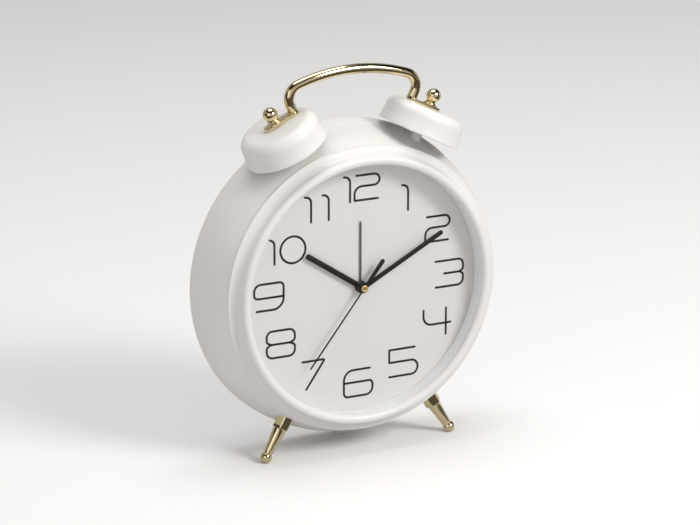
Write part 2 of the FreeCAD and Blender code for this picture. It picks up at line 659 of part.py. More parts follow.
# Bells: pressed hats with a slightly flared side and a round shoulder, open underneath.
BELL_OUTLINE = [
    ("0", "bell_rim_r"),
    ("flare_end", "bell_side_r", "flare_curve", 1),
    ("bell_tall", "bell_side_r - bell_shoulder", "bell_shoulder", -1),
    ("bell_tall", "stud_r + fit_gap"),
    ("bell_tall - bell_wall", "stud_r + fit_gap"),
    ("bell_tall - bell_wall", "bell_side_r - bell_shoulder"),
    ("flare_end", "bell_side_r - bell_wall", "bell_shoulder - bell_wall", 1),
    ("0", "bell_side_r + flare_curve - sqrt((flare_curve + bell_wall)^2 - flare_end^2)",
     "flare_curve + bell_wall", -1),
]
for name, side in SIDES:
    finish(turned(f"bell_{name}", "Z", BELL_OUTLINE), f"bell_{name}", **on_bell(side)("bell_rim_height"))

# Bell posts: each stands on the drum and carries the bell, with a stud at both ends.
for name, side in SIDES:
    place = on_bell(side)
    column = stick(f"column_{name}", "post_r", "post_inside", "bell_top_height - bell_wall - fit_gap", place)
    shaped = cut(f"column_foot_{name}", column, drum_solid)
    stud = stick(f"post_stud_{name}", "stud_r", "post_inside - nut_thick - stud_end",
                 "ball_height + ball_r - 2 * dome_cover", place)
    finish(fuse(f"post_{name}", shaped, stud), f"bell_post_{name}")


def inner_nut(name, top, place):
    """A hexagon nut on a stud inside the drum, below the distance top."""
    blank = doc.addObject("Part::Prism", name + "_blank")
    blank.Polygon = 6
    bind(blank, Circumradius="nut_r", Height="nut_thick")
    put(blank, **place(f"({top}) - nut_thick"))
    bore = stick(name + "_bore", "stud_r + fit_gap", f"({top}) - nut_thick - over", f"({top}) + over", place)
    return cut(name, blank, bore)


finish(fuse("nuts_of_posts", *[inner_nut(f"post_nut_{name}", "post_inside", on_bell(side))
                               for name, side in SIDES]), "post_nuts")

# Finials: turned ball nuts with a stepped collar. They clamp the handle's feet and the bells.
FINIAL_OUTLINE = [
    ("0", "stud_r + fit_gap"),
    ("0", "washer_r"),
    ("washer_thick", "washer_r"),
    ("washer_thick", "collar_r"),
    ("washer_thick + collar_thick", "collar_r"),
    ("washer_thick + collar_thick + collar_slope", "neck_r"),
    ("ball_rise - sqrt(ball_r^2 - neck_r^2)", "neck_r"),
    ("ball_rise", "ball_r", "ball_r", -1),
    ("ball_rise + ball_r", "0", "ball_r", -1),
    ("ball_rise + ball_r - dome_cover", "0"),
    ("ball_rise + ball_r - dome_cover", "stud_r + fit_gap"),
]
for name, side in SIDES:
    finish(turned(f"finial_{name}", "Z", FINIAL_OUTLINE), f"finial_{name}", **on_bell(side)("foot_top"))


# Handle: one bent rod. Its crown is a shallow arc, its shoulders are tight bends, and its straight
# legs run square to the bell tops, where the rod is pressed out into flat feet.
def handle_shape():
    lean = math.radians(size("bell_lean"))
    crown = size("crown_curve")
    half = size("crown_half")
    bend = size("shoulder_bend")
    slope = math.asin(half / crown)
    top = size("crown_height")
    outward = FreeCAD.Vector(math.sin(lean), 0, math.cos(lean))
    along = FreeCAD.Vector(math.cos(lean), 0, -math.sin(lean))
    axis_point = outward * (size("bell_top_height") + size("foot_plate") / 2)
    shoulder = FreeCAD.Vector(half, 0, top - crown + crown * math.cos(slope))
    bend_mid = shoulder - FreeCAD.Vector(math.sin(slope), 0, math.cos(slope)) * bend
    leg_top = bend_mid + along * bend
    middle_turn = (FreeCAD.Vector(math.sin(slope), 0, math.cos(slope)) + along).normalize()
    bend_top = bend_mid + middle_turn * bend
    leg_foot = leg_top - outward * (leg_top - axis_point).dot(outward)

    def mirrored(point):
        return FreeCAD.Vector(-point.x, point.y, point.z)

    edges = [
        Part.LineSegment(mirrored(leg_foot), mirrored(leg_top)),
        Part.Arc(mirrored(leg_top), mirrored(bend_top), mirrored(shoulder)),
        Part.Arc(mirrored(shoulder), FreeCAD.Vector(0, 0, top), shoulder),
        Part.Arc(shoulder, bend_top, leg_top),
        Part.LineSegment(leg_top, leg_foot),
    ]
    path = Part.Wire([edge.toShape() for edge in edges])
    ring = Part.Wire([Part.makeCircle(size("rod_r"), mirrored(leg_foot), mirrored(outward))])
    whole = path.makePipeShell([ring], True, False)
    wide = size("foot_wide")
    thick = size("foot_plate")
    for side in (-1, 1):
        flat = Part.makeBox(size("foot_inner") + size("foot_outer") - wide, wide, thick)
        flat.translate(FreeCAD.Vector(wide / 2 - size("foot_inner"), -wide / 2, 0))
        for end in (wide / 2 - size("foot_inner"), size("foot_outer") - wide / 2):
            flat = flat.fuse(Part.makeCylinder(wide / 2, thick, FreeCAD.Vector(end, 0, 0)))
        run = (leg_foot - axis_point).dot(along)
        flare = Part.makeCone(wide / 2, size("rod_r"), thick, FreeCAD.Vector(run, 0, thick))
        flat = flat.fuse(flare)
        hole = Part.makeCylinder(size("stud_r") + size("fit_gap"), 3 * thick, FreeCAD.Vector(0, 0, -thick))
        flat = flat.cut(hole)
        flat = flat.mirror(FreeCAD.Vector(), FreeCAD.Vector(1, 0, 0)) if side < 0 else flat
        turn = FreeCAD.Rotation(FreeCAD.Vector(0, 1, 0), side * size("bell_lean"))
        seat = outward * size("bell_top_height")
        seat.x *= side
        flat.Placement = FreeCAD.Placement(seat, turn) * flat.Placement
        whole = whole.fuse(flat)
    whole.translate(FreeCAD.Vector(0, size("bell_depth"), 0))
    return whole.removeSplitter()


settled("handle", handle_shape())

# Legs: a hexagon block shaped to the drum, a cone and a ball with a small ground flat,
# held by a stud and a nut inside the drum.
floor_block = box("floor_block", "0 - drum_r", "0 - drum_r", "0 - axis_height - foot_ball_r",
                  "drum_r", "drum_r", "0 - axis_height")
for name, side in SIDES:
    place = on_leg(side)
    block = doc.addObject("Part::Prism", f"leg_block_{name}")
    block.Polygon = 6
    bind(block, Circumradius="hex_r", Height="hex_length")
    put(block, **place("0 - hex_length"))
    shaped = cut(f"leg_block_top_{name}", block, drum_solid)
    cone = doc.addObject("Part::Cone", f"leg_cone_{name}")
    bind(cone, Radius1="cone_top_r", Radius2="cone_foot_r", Height="leg_length")
    put(cone, **place("0"))
    ball = doc.addObject("Part::Sphere", f"leg_ball_{name}")
    bind(ball, Radius="foot_ball_r")
    put(ball, **place("leg_length"))
    stud = stick(f"leg_stud_{name}", "stud_r",
                 "0 - (leg_joint_height - leg_inside) - nut_thick - stud_end", "0", place)
    whole = fuse(f"leg_whole_{name}", shaped, cone, ball, stud)
    finish(cut(f"leg_{name}", whole, floor_block), f"leg_{name}")
finish(fuse("nuts_of_legs", *[
    inner_nut(f"leg_nut_{name}", "0 - (leg_joint_height - leg_inside)", on_leg(side))
    for name, side in SIDES
]), "leg_nuts")

# Rear foot: a rubber stub pushed into the drum, which carries the clock's back.
rear_pad = doc.addObject("Part::Cylinder", "rear_pad")
bind(rear_pad, Radius="rear_foot_r", Height="axis_height - drum_r + back_round")
put(rear_pad, y="rear_foot_depth", z="0 - axis_height")
rear_stem = doc.addObject("Part::Cylinder", "rear_stem")
bind(rear_stem, Radius="rear_stem_r", Height="axis_height - drum_r + 4 * wall")
put(rear_stem, y="rear_foot_depth", z="0 - axis_height")
rear_bulb = doc.addObject("Part::Cylinder", "rear_bulb")
bind(rear_bulb, Radius="rear_stem_r * 1.5", Height="rear_bulb_thick")
put(rear_bulb, y="rear_foot_depth", z="0 - drum_r + 2 * wall")
finish(fuse("rear", cut("rear_pad_top", rear_pad, drum_solid), rear_stem, rear_bulb), "rear_foot")

# Movement case: a front and a back shell round the train, with two fixing ears in front
# and an open battery bay at the bottom of the back.
half_case = "case_wide / 2"
half_room = "(case_wide / 2 - case_wall)"
bay_floor = "0 - case_wide / 2 + case_wall"
bay_top = "0 - case_wide / 2 + case_wall + bay_height"
bay_front = "case_back - 2 * cell_r - over"
front_block = box("front_block", f"0 - {half_case}", "case_front", f"0 - {half_case}",
                  half_case, "split_depth", half_case)
front_room = box("front_room", f"0 - ({half_room})", "inner_front", f"0 - ({half_room})",
                 half_room, "split_depth + over", half_room)
ears = box("ears", "0 - case_wide / 2 - ear_length", "carrier_back + fit_gap", "0 - ear_wide / 2",
           "case_wide / 2 + ear_length", "carrier_back + fit_gap + ear_thick", "ear_wide / 2")
ear_holes = [rod(f"ear_hole_{name}", "screw_r + bore_gap", "carrier_back - over",
                 "carrier_back + ear_thick + over", x=f"{side} * ({ear_hole_x})")
             for name, side in SIDES]
pipe_hole = rod("pipe_hole", "alarm_pipe_r + run_gap", "case_front - over", "inner_front + over")
plate_posts = []
for index, x in enumerate(("post_inset - plate_left", "plate_right - post_inset")):
    for row, z in enumerate(("post_inset - plate_low", "plate_high - post_inset")):
        plate_posts.append(rod(f"plate_post_{index}{row}", "plate_post_r", "case_front + case_wall / 2",
                               "plate_front", x=x, z=z))
board_x = f"board_gap - {half_room}"
board_pegs = []
for index, z in enumerate(("peg_inset - board_low", "board_high - peg_inset")):
    board_pegs.append(rod(f"board_peg_{index}", "peg_r", "case_front + case_wall / 2", "plate_front",
                          x=f"{board_x} + peg_inset", z=z))
front_walls = fuse("front_shell_walls", front_block, ears)
front_shell = cut("front_shell", front_walls, front_room, pipe_hole, *ear_holes)
finish(fuse("front_shell_whole", front_shell, *plate_posts, *board_pegs), "movement_front_shell")

MOTION = ("motion_reach * cos(30)", "motion_reach * sin(30)")
SETTING = ("alarm_reach * cos(110)", "alarm_reach * sin(110)")
THIRD = ("train_reach * cos(150)", "train_reach * sin(150)")
FIFTH = ("train_reach * cos(330)", "train_reach * sin(330)")
ROTOR = ("train_reach * cos(330) + rotor_reach", "train_reach * sin(330)")

back_block = box("back_block", f"0 - {half_case}", "split_depth + fit_gap", f"0 - {half_case}",
                 half_case, "case_back", half_case)
back_room = box("back_room", f"0 - ({half_room})", "split_depth - over", f"{bay_top} + case_wall",
                half_room, "inner_back", half_room)
bay_block = box("bay_block", f"0 - ({half_room} - fit_gap)", f"{bay_front} - case_wall",
                f"{bay_floor} + fit_gap", f"{half_room} - fit_gap", "case_back", f"{bay_top} + case_wall")
bay_end = f"{half_room} - bay_skin"
bay_room = box("bay_room", f"0 - ({bay_end})", bay_front, f"{bay_floor} + bay_skin",
               bay_end, "case_back + over", bay_top)
knob_holes = [rod(f"{name}_arbor_hole", "knob_arbor_r + run_gap", "inner_back - over",
                  "case_back + over", x=x, z=z)
              for name, (x, z) in (("time", MOTION), ("alarm", SETTING))]
slide_x = "(slide_inset - case_wide / 2)"
slot_half = "(slide_tall / 2 + flange_room)"
switch_slot = box("switch_slot", f"{slide_x} - slide_wide / 2 - 2 * flange_room", "inner_back - over",
                  f"slide_high - {slot_half}", f"{slide_x} + slide_wide / 2 + slide_travel + 2 * flange_room",
                  "case_back + over", f"slide_high + {slot_half}")
buzzer_x = "(case_wide / 2 - buzzer_inset)"
sound_holes = [rod(f"sound_hole_{index}", "sound_r", "inner_back - over", "case_back + over",
                   x=f"{buzzer_x} + {across} * sound_pitch", z=f"{buzzer_x} + {up} * sound_pitch")
               for index, (across, up) in enumerate(((0, 0), (1, 0), (-1, 0), (0, 1), (0, -1)))]
back_walls = fuse("back_shell_walls", cut("back_shell_box", back_block, back_room), bay_block)
finish(cut("back_shell", back_walls, bay_room, switch_slot, *knob_holes, *sound_holes),
       "movement_back_shell")

plate_blank = box("plate_blank", "0 - plate_left", "plate_front", "0 - plate_low",
                  "plate_right", "plate_back", "plate_high")
plate_bosses = [rod(f"plate_boss_{index}", "plate_boss_r", "plate_front", "rotor_middle - iron_thick / 2",
                    x="arm_x", z=z) for index, z in enumerate(("arm_high", "0 - arm_low"))]
plate_bores = [
    rod("plate_bore_centre", "minute_pipe_r + bore_gap", "plate_front - over", "plate_back + over"),
    rod("plate_bore_third", "third_bore_r", "plate_front - over", "plate_back + over",
        x=THIRD[0], z=THIRD[1]),
    rod("plate_bore_motion", "knob_arbor_r + bore_gap", "plate_front - over", "plate_back + over",
        x=MOTION[0], z=MOTION[1]),
    rod("plate_bore_setting", "knob_arbor_r + bore_gap", "plate_front - over", "plate_back + over",
        x=SETTING[0], z=SETTING[1]),
    rod("plate_bore_fifth", "arbor_r + run_gap", "plate_front - over", "plate_back + over",
        x=FIFTH[0], z=FIFTH[1]),
    rod("plate_bore_rotor", "arbor_r + run_gap", "plate_front - over", "plate_back + over",
        x=ROTOR[0], z=ROTOR[1]),
]
finish(fuse("plate_whole", cut("plate", plate_blank, *plate_bores), *plate_bosses), "movement_mid_plate")


# Wheels: every toothed ring is drawn tooth by tooth with straight flanks and some backlash.
def toothed(teeth, reach_text, partner, layer, thick, middle=("0", "0"), towards=0.0, tooth=True):
    """A toothed ring that meshes with a partner of a given tooth number at a centre distance.

    At rest a tooth, or a gap when tooth is False, points along towards, in degrees from X to Z.
    """
    module = 2 * size(reach_text) / (teeth + partner)
    root = module * (teeth / 2 - 1.2)
    tip = module * (teeth / 2 + 0.85)
    pitch = 360 / teeth
    first = towards if tooth else towards + pitch / 2
    points = []
    for index in range(teeth):
        middle_angle = first + index * pitch
        for radius, share in ((root, -0.27), (tip, -0.11), (tip, 0.11), (root, 0.27)):
            angle = math.radians(middle_angle + share * pitch)
            points.append(FreeCAD.Vector(radius * math.cos(angle), 0, radius * math.sin(angle)))
    outline = Part.Wire(Part.makePolygon(points + [points[0]]))
    ring = Part.Face(outline).extrude(FreeCAD.Vector(0, size(thick), 0))
    ring.translate(FreeCAD.Vector(size(middle[0]), size(layer), size(middle[1])))
    return ring


def bar(radius, y0, y1, middle=("0", "0")):
    foot = FreeCAD.Vector(size(middle[0]), size(y0), size(middle[1]))
    return Part.makeCylinder(size(radius), size(y1) - size(y0), foot, FreeCAD.Vector(0, 1, 0))


def joined(*shapes):
    return shapes[0].fuse(list(shapes[1:])).removeSplitter()


# Second wheel: its long arbor carries the second hand and its pinion drives the third wheel.
second_wheel = joined(
    toothed(60, "train_reach", 12, "second_layer", "wheel_thick", towards=330),
    toothed(8, "train_reach", 60, "third_layer - pinion_lap",
            "second_layer - third_layer + pinion_lap", towards=150),
    bar("second_arbor_r", "boss_front + pipe_inset", "inner_back - fit_gap"),
)
settled("second_wheel", second_wheel)

third_wheel = joined(
    toothed(60, "train_reach", 8, "third_layer", "wheel_thick", THIRD, towards=330, tooth=False),
    toothed(8, "train_reach", 64, "centre_layer - pinion_lap",
            "third_layer - centre_layer + pinion_lap", THIRD, towards=330),
    bar("arbor_r", "centre_layer - nose", "inner_back - fit_gap", THIRD),
)
settled("third_wheel", third_wheel)

# Centre wheel: one turn an hour, with the minute pipe and the cannon pinion.
centre_wheel = joined(
    toothed(64, "train_reach", 8, "centre_layer", "wheel_thick", towards=150, tooth=False),
    toothed(12, "motion_reach", 36, "cannon_layer", "centre_layer - cannon_layer", towards=30),
    bar("minute_pipe_r", "minute_hub_front + pipe_inset", "centre_layer + wheel_thick"),
).cut(bar("second_arbor_r + run_gap", "boss_front - over", "case_back"))
settled("centre_wheel", centre_wheel)

motion_wheel = joined(
    toothed(36, "motion_reach", 12, "cannon_layer + motion_lead", "wheel_thick", MOTION,
            towards=210, tooth=False),
    toothed(10, "motion_reach", 40, "hour_layer - pinion_lap",
            "cannon_layer - hour_layer + pinion_lap + motion_lead", MOTION, towards=210),
    bar("knob_arbor_r", "inner_front + fit_gap", "knob_back - knob_cap", MOTION),
)
settled("motion_wheel", motion_wheel)

hour_wheel = joined(
    toothed(40, "motion_reach", 10, "hour_layer", "wheel_thick", towards=30, tooth=False),
    bar("hour_pipe_r", "hour_hub_front + pipe_inset", "hour_layer + wheel_thick"),
).cut(bar("minute_pipe_r + run_gap", "boss_front - over", "case_back"))
settled("hour_wheel", hour_wheel)

alarm_wheel = joined(
    toothed(40, "alarm_reach", 40, "alarm_layer", "wheel_thick", towards=110, tooth=False),
    bar("alarm_pipe_r", "alarm_hub_front + pipe_inset", "alarm_layer + wheel_thick"),
).cut(bar("hour_pipe_r + run_gap", "boss_front - over", "case_back"))
settled("alarm_wheel", alarm_wheel)

alarm_setting_wheel = joined(
    toothed(40, "alarm_reach", 40, "alarm_layer", "wheel_thick", SETTING, towards=290),
    bar("knob_arbor_r", "inner_front + fit_gap", "knob_back - knob_cap", SETTING),
)
settled("alarm_setting_wheel", alarm_setting_wheel)

fifth_wheel = joined(
    toothed(12, "train_reach", 60, "second_layer", "fifth_layer - second_layer", FIFTH,
            towards=150, tooth=False),
    toothed(48, "rotor_reach", 8, "fifth_layer", "wheel_thick", FIFTH, towards=0),
    bar("arbor_r", "plate_front + 2 * fit_gap", "inner_back - fit_gap", FIFTH),
)
settled("fifth_wheel", fifth_wheel)

# Rotor: a small round magnet with a pinion, stepped by the coil through the stator.
rotor = joined(
    toothed(8, "rotor_reach", 48, "fifth_layer - pinion_lap", "wheel_thick + 2 * pinion_lap", ROTOR,
            towards=180, tooth=False),
    bar("magnet_r", "rotor_middle - magnet_half", "rotor_middle + magnet_half", ROTOR),
    bar("arbor_r", "plate_front + 2 * fit_gap", "inner_back - fit_gap", ROTOR),
)
settled("rotor", rotor)


# Stator and coil: a flat iron circuit round the rotor, closed through the coil's core.
def block(x0, y0, z0, x1, y1, z1):
    corner = FreeCAD.Vector(size(x0), size(y0), size(z0))
    return Part.makeBox(size(x1) - size(x0), size(y1) - size(y0), size(z1) - size(z0), corner)


iron = ("rotor_middle - iron_thick / 2", "rotor_middle + iron_thick / 2")
half_iron = "iron_wide / 2"
low_arm = (f"0 - arm_low - {half_iron}", f"0 - arm_low + {half_iron}")
high_arm = (f"arm_high - {half_iron}", f"arm_high + {half_iron}")
stator = joined(
    bar("pole_r", *iron, ROTOR),
    block(ROTOR[0], iron[0], low_arm[0], "arm_end", iron[1], low_arm[1]),
    block(f"arm_x - {half_iron}", iron[0], f"{ROTOR[1]} + pole_bore_r / 2",
          f"arm_x + {half_iron}", iron[1], high_arm[1]),
    block(f"arm_x - {half_iron}", iron[0], high_arm[0], "arm_end", iron[1], high_arm[1]),
).cut(bar("pole_bore_r", "rotor_middle - iron_thick", "rotor_middle + iron_thick", ROTOR))
settled("stator", stator)
core_front = f"{iron[1]} + fit_gap"
core = block("coil_x - core_wide / 2", core_front, low_arm[0],
             "coil_x + core_wide / 2", f"{core_front} + core_thick", high_arm[1])


def upright(radius, z0, z1):
    """A round bar along the coil's core."""
    foot = FreeCAD.Vector(size("coil_x"), size(f"{core_front} + core_thick / 2"), size(z0))
    return Part.makeCylinder(size(radius), size(z1) - size(z0), foot)


coil_low = "(coil_inset - arm_low)"
coil_high = "(arm_high - coil_inset)"
sleeve = upright("sleeve_r", coil_low, coil_high)
settled("coil_bobbin", joined(core, sleeve, upright("flange_r", coil_low, f"{coil_low} + flange_thick"),
                              upright("flange_r", f"{coil_high} - flange_thick", coil_high)))
winding = upright("winding_r", f"{coil_low} + flange_thick + fit_gap",
                  f"{coil_high} - flange_thick - fit_gap")
settled("coil_winding", winding.cut(upright("sleeve_r + fit_gap", coil_low, coil_high)))

# Circuit: a small board on two pegs, with the quartz in its can, and the buzzer by the back wall.
board_back = "plate_front + fit_gap + board_thick"
board = block(board_x, "plate_front + fit_gap", "0 - board_low",
              f"{board_x} + board_wide", board_back, "board_high")
settled("circuit_board", board)
can_foot = FreeCAD.Vector(-size("can_x"), size(f"{board_back} + can_r + fit_gap"), -size("can_low"))
settled("quartz_crystal", Part.makeCylinder(size("can_r"), size("can_length"), can_foot))
settled("buzzer", bar("buzzer_r", "inner_back - fit_gap - buzzer_thick", "inner_back - fit_gap",
                      (buzzer_x, buzzer_x)))

# Battery, with a flat contact at its button and a small coil spring at its other end.
cell_z = f"{bay_floor} + bay_skin + (bay_height - bay_skin) / 2"
cell_y = f"{bay_front} + cell_r + fit_gap"
plate_x = f"{bay_end} - fit_gap - contact_thick"
cell_x = f"{plate_x} - fit_gap - cell_nub - cell_length"
onward = FreeCAD.Vector(1, 0, 0)
cell_foot = FreeCAD.Vector(size(cell_x), size(cell_y), size(cell_z))
cell = Part.makeCylinder(size("cell_r"), size("cell_length"), cell_foot, onward)
nub_foot = cell_foot + onward * size("cell_length")
nub = Part.makeCylinder(size("cell_nub_r"), size("cell_nub"), nub_foot, onward)
settled("battery", joined(cell, nub))
contact_spans = (f"{cell_y} - contact_wide / 2", f"{cell_z} - contact_tall / 2",
                 f"{cell_y} + contact_wide / 2", f"{cell_z} + contact_tall / 2")
settled("battery_plate", block(plate_x, contact_spans[0], contact_spans[1],
                               f"{plate_x} + contact_thick", contact_spans[2], contact_spans[3]))
spring_plate = block(f"0 - ({plate_x} + contact_thick)", contact_spans[0], contact_spans[1],
                     f"0 - ({plate_x})", contact_spans[2], contact_spans[3])
wire_r = size("contact_thick") / 2
spring_turns = 2
spring_room = cell_foot.x + size(plate_x) - 2 * wire_r
coil_path = Part.makeHelix(spring_room / spring_turns, spring_room, size("spring_r"))
wire_start = FreeCAD.Vector(size("spring_r"), 0, 0)
coil_start = Part.Wire([Part.makeCircle(wire_r, wire_start, FreeCAD.Vector(0, 1, 0))])
spring_coil = Part.Wire(coil_path.Edges).makePipeShell([coil_start], True, True)
spring_coil.Placement = FreeCAD.Placement(
    FreeCAD.Vector(-size(plate_x) + 0.6 * wire_r, cell_foot.y, cell_foot.z),
    FreeCAD.Rotation(FreeCAD.Vector(0, 1, 0), 90))
settled("battery_spring", joined(spring_plate, spring_coil))

# Setting knobs on the ends of their arbors, and the slide that arms the alarm.
for label, middle in (("time_knob", MOTION), ("alarm_knob", SETTING)):
    knob = bar("knob_r", "case_back + knob_gap", "knob_back", middle)
    flutes = []
    for index in range(int(size("knob_flutes"))):
        turn = 2 * math.pi * index / size("knob_flutes")
        foot = FreeCAD.Vector(size(middle[0]) + size("knob_r") * math.cos(turn), size("case_back"),
                              size(middle[1]) + size("knob_r") * math.sin(turn))
        flute_long = 2 * size("knob_thick")
        flutes.append(Part.makeCylinder(size("flute_r"), flute_long, foot, FreeCAD.Vector(0, 1, 0)))
    bore = bar("knob_arbor_r + fit_gap", "case_back", "knob_back - knob_cap + fit_gap", middle)
    settled(label, knob.cut(flutes + [bore]))
settled("alarm_switch", joined(
    block(f"{slide_x} - slide_wide / 2", "inner_back - slide_flange", "slide_high - slide_tall / 2",
          f"{slide_x} + slide_wide / 2", "case_back + slide_show", "slide_high + slide_tall / 2"),
    block(f"{slide_x} - slide_wide / 2 - slide_flange", "inner_back - slide_flange",
          "slide_high - slide_tall / 2 - slide_flange", f"{slide_x} + slide_wide / 2 + slide_flange",
          "inner_back - fit_gap", "slide_high + slide_tall / 2 + slide_flange"),
))


# Hands: flat bars with round ends, each on its own hub and pipe.
def hand(label, length, wide, thick, hub_r, hub_front, hub_back, bore_r, rest, tail=None):
    front = f"({hub_front} + {hub_back} - {thick}) / 2"
    back = f"({hub_front} + {hub_back} + {thick}) / 2"
    parts = [
        box(f"{label}_blade", f"0 - {wide} / 2", front, "0", f"{wide} / 2", back, f"{length} - {wide} / 2"),
        rod(f"{label}_tip", f"{wide} / 2", front, back, z=f"{length} - {wide} / 2"),
        rod(f"{label}_hub", hub_r, hub_front, hub_back),
    ]
    if tail:
        tail_length, tail_wide = tail
        tail_z = f"0 - {tail_length} + {tail_wide} / 2"
        parts.append(box(f"{label}_tail", f"0 - {tail_wide} / 2", front, tail_z,
                         f"{tail_wide} / 2", back, "0"))
        parts.append(rod(f"{label}_tail_end", f"{tail_wide} / 2", front, back, z=tail_z))
    bore = rod(f"{label}_bore", bore_r, f"{hub_front} - over", f"{hub_back} + over")
    finish(cut(f"{label}_whole", fuse(f"{label}_sheet", *parts), bore), label, pitch=rest)


hand("alarm_hand", "alarm_length", "alarm_wide", "thin_hand", "alarm_hub_r", "alarm_hub_front",
     "alarm_hub_back", "alarm_pipe_r + fit_gap", "alarm_rest")
hand("hour_hand", "hour_length", "hour_wide", "hand_thick", "hour_hub_r", "hour_hub_front",
     "hour_hub_back", "hour_pipe_r + fit_gap", "hour_rest")
hand("minute_hand", "minute_length", "minute_wide", "hand_thick", "minute_hub_r", "minute_hub_front",
     "minute_hub_back", "minute_pipe_r + fit_gap", "minute_rest")
hand("second_hand", "second_length", "second_wide", "thin_hand", "boss_r * 1.2", "boss_middle",
     "boss_back", "boss_r / 2 + fit_gap", "second_rest", ("second_tail", "second_tail_wide"))
finish(turned("boss", "Y", [
    ("boss_front", "boss_bore_r"),
    ("boss_front", "boss_r"),
    ("boss_middle - fit_gap", "boss_r"),
    ("boss_middle - fit_gap", "boss_r / 2"),
    ("boss_back", "boss_r / 2"),
    ("boss_back", "second_arbor_r + fit_gap"),
    ("boss_front + boss_sink", "second_arbor_r + fit_gap"),
    ("boss_front + boss_sink", "boss_bore_r"),
]), "second_hand_boss")

# Every object must be sound before anything is written.
doc.recompute()
for thing in doc.Objects:
    if "Invalid" in thing.State or "Error" in thing.State:
        raise RuntimeError(f"{thing.Name} failed: {thing.State}")
for piece in FINISHED:
    if piece.Shape.isNull() or not piece.Shape.isValid() or not piece.Shape.Solids:
        raise RuntimeError(f"{piece.Label} has no sound solid")
for piece in FINISHED:
    piece.Shape.exportStep(f"parts/{piece.Label}.step")
    span = piece.Shape.BoundBox
    print(f"{piece.Label:24} solids {len(piece.Shape.Solids)} volume {piece.Shape.Volume:10.2f} "
          f"x {span.XMin:8.2f} {span.XMax:8.2f} y {span.YMin:8.2f} {span.YMax:8.2f} "
          f"z {span.ZMin:8.2f} {span.ZMax:8.2f}")
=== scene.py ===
import math

import bmesh
import bpy
import numpy as np
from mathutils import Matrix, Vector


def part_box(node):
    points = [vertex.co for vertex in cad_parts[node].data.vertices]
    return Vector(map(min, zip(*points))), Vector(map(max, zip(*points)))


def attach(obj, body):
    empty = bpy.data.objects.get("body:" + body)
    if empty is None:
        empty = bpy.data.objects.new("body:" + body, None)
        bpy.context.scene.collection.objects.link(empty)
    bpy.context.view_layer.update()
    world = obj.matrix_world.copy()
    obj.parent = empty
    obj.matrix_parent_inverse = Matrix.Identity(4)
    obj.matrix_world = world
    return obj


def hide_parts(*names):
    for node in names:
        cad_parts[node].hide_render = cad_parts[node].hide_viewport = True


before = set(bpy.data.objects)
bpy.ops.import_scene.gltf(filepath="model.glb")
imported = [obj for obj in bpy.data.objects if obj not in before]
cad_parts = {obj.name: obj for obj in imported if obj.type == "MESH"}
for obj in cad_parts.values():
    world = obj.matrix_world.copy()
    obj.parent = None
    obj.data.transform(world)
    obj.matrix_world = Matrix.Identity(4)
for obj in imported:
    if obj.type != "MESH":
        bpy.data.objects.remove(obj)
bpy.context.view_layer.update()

# Camera: it stands to the left of the clock, two metres away and a little above its top,
# and looks slightly down, so the dial, the left side of the drum and the bell tops show.
VIEW_SPOT = (-0.93357, -1.85970, 0.76050)
VIEW_TURN = (73.3425, -0.0427, -26.6107)
FOCAL, SENSOR_WIDE = 154.286, 36.0
view = bpy.data.objects.new("view", bpy.data.cameras.new("view"))
bpy.context.scene.collection.objects.link(view)
view.location = VIEW_SPOT
view.rotation_euler = [math.radians(turn) for turn in VIEW_TURN]
view.data.sensor_width = SENSOR_WIDE
view.data.lens = FOCAL
bpy.context.scene.camera = view
bpy.context.scene.view_settings.view_transform = "Standard"

# Front ring: one white moulding, with a round bead at the lens and a hollow cove that flares to
# a thin rim. Its skirt slips into the drum, and the lens, wall and dial drop in from behind.
MM = 1000
RING_LOW, RING_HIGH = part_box("bezel_ring")
CENTRE = np.array([0.0, RING_LOW.y, (RING_LOW.z + RING_HIGH.z) / 2])
LEAST_BEND, LEAST_LENGTH, NEARLY_STRAIGHT = 1e-4, 1e-9, 0.999999
WELD, SLIVER = 2e-6, 1e-6


def arc(along, out, radius, start, end, steps):
    """Points on a circle in the plane of along and out: (along, out) + radius * (cos a, sin a)."""
    a = np.radians(np.linspace(start, end, steps))
    return np.stack([along + radius * np.cos(a), out + radius * np.sin(a)], 1)


def filleted(corners, steps=7, closed=True):
    """Outline through corners (along, out, bend), with each corner rounded to the radius bend.

    With unit vectors a and b from a corner to its neighbours and h half the angle between them,
    the arc starts bend / tan(h) along a, ends as far along b, and its centre lies
    bend / sin(h) along a + b. An open outline keeps its two ends as they are.
    """
    table = np.array(corners, float)
    spots = table[:, :2]
    bends = np.maximum(table[:, 2:3], LEAST_BEND)
    a = np.roll(spots, 1, 0) - spots
    b = np.roll(spots, -1, 0) - spots
    a /= np.linalg.norm(a, axis=1, keepdims=True)
    b /= np.linalg.norm(b, axis=1, keepdims=True)
    cosine = np.clip((a * b).sum(1, keepdims=True), -NEARLY_STRAIGHT, NEARLY_STRAIGHT)
    half = np.arccos(cosine) / 2
    middle = a + b
    middle /= np.maximum(np.linalg.norm(middle, axis=1, keepdims=True), LEAST_LENGTH)
    centres = spots + middle * bends / np.sin(half)
    first = (spots + a * bends / np.tan(half) - centres)[:, None]
    last = (spots + b * bends / np.tan(half) - centres)[:, None]
    sweep = (math.pi - 2 * half)[:, None]
    share = np.linspace(0, 1, steps)[None, :, None]
    turns = (np.sin((1 - share) * sweep) * first + np.sin(share * sweep) * last) / np.sin(sweep)
    rounds = centres[:, None] + turns
    if not closed:
        return np.concatenate([spots[:1], rounds[1:-1].reshape(-1, 2), spots[-1:]])
    return rounds.reshape(-1, 2)


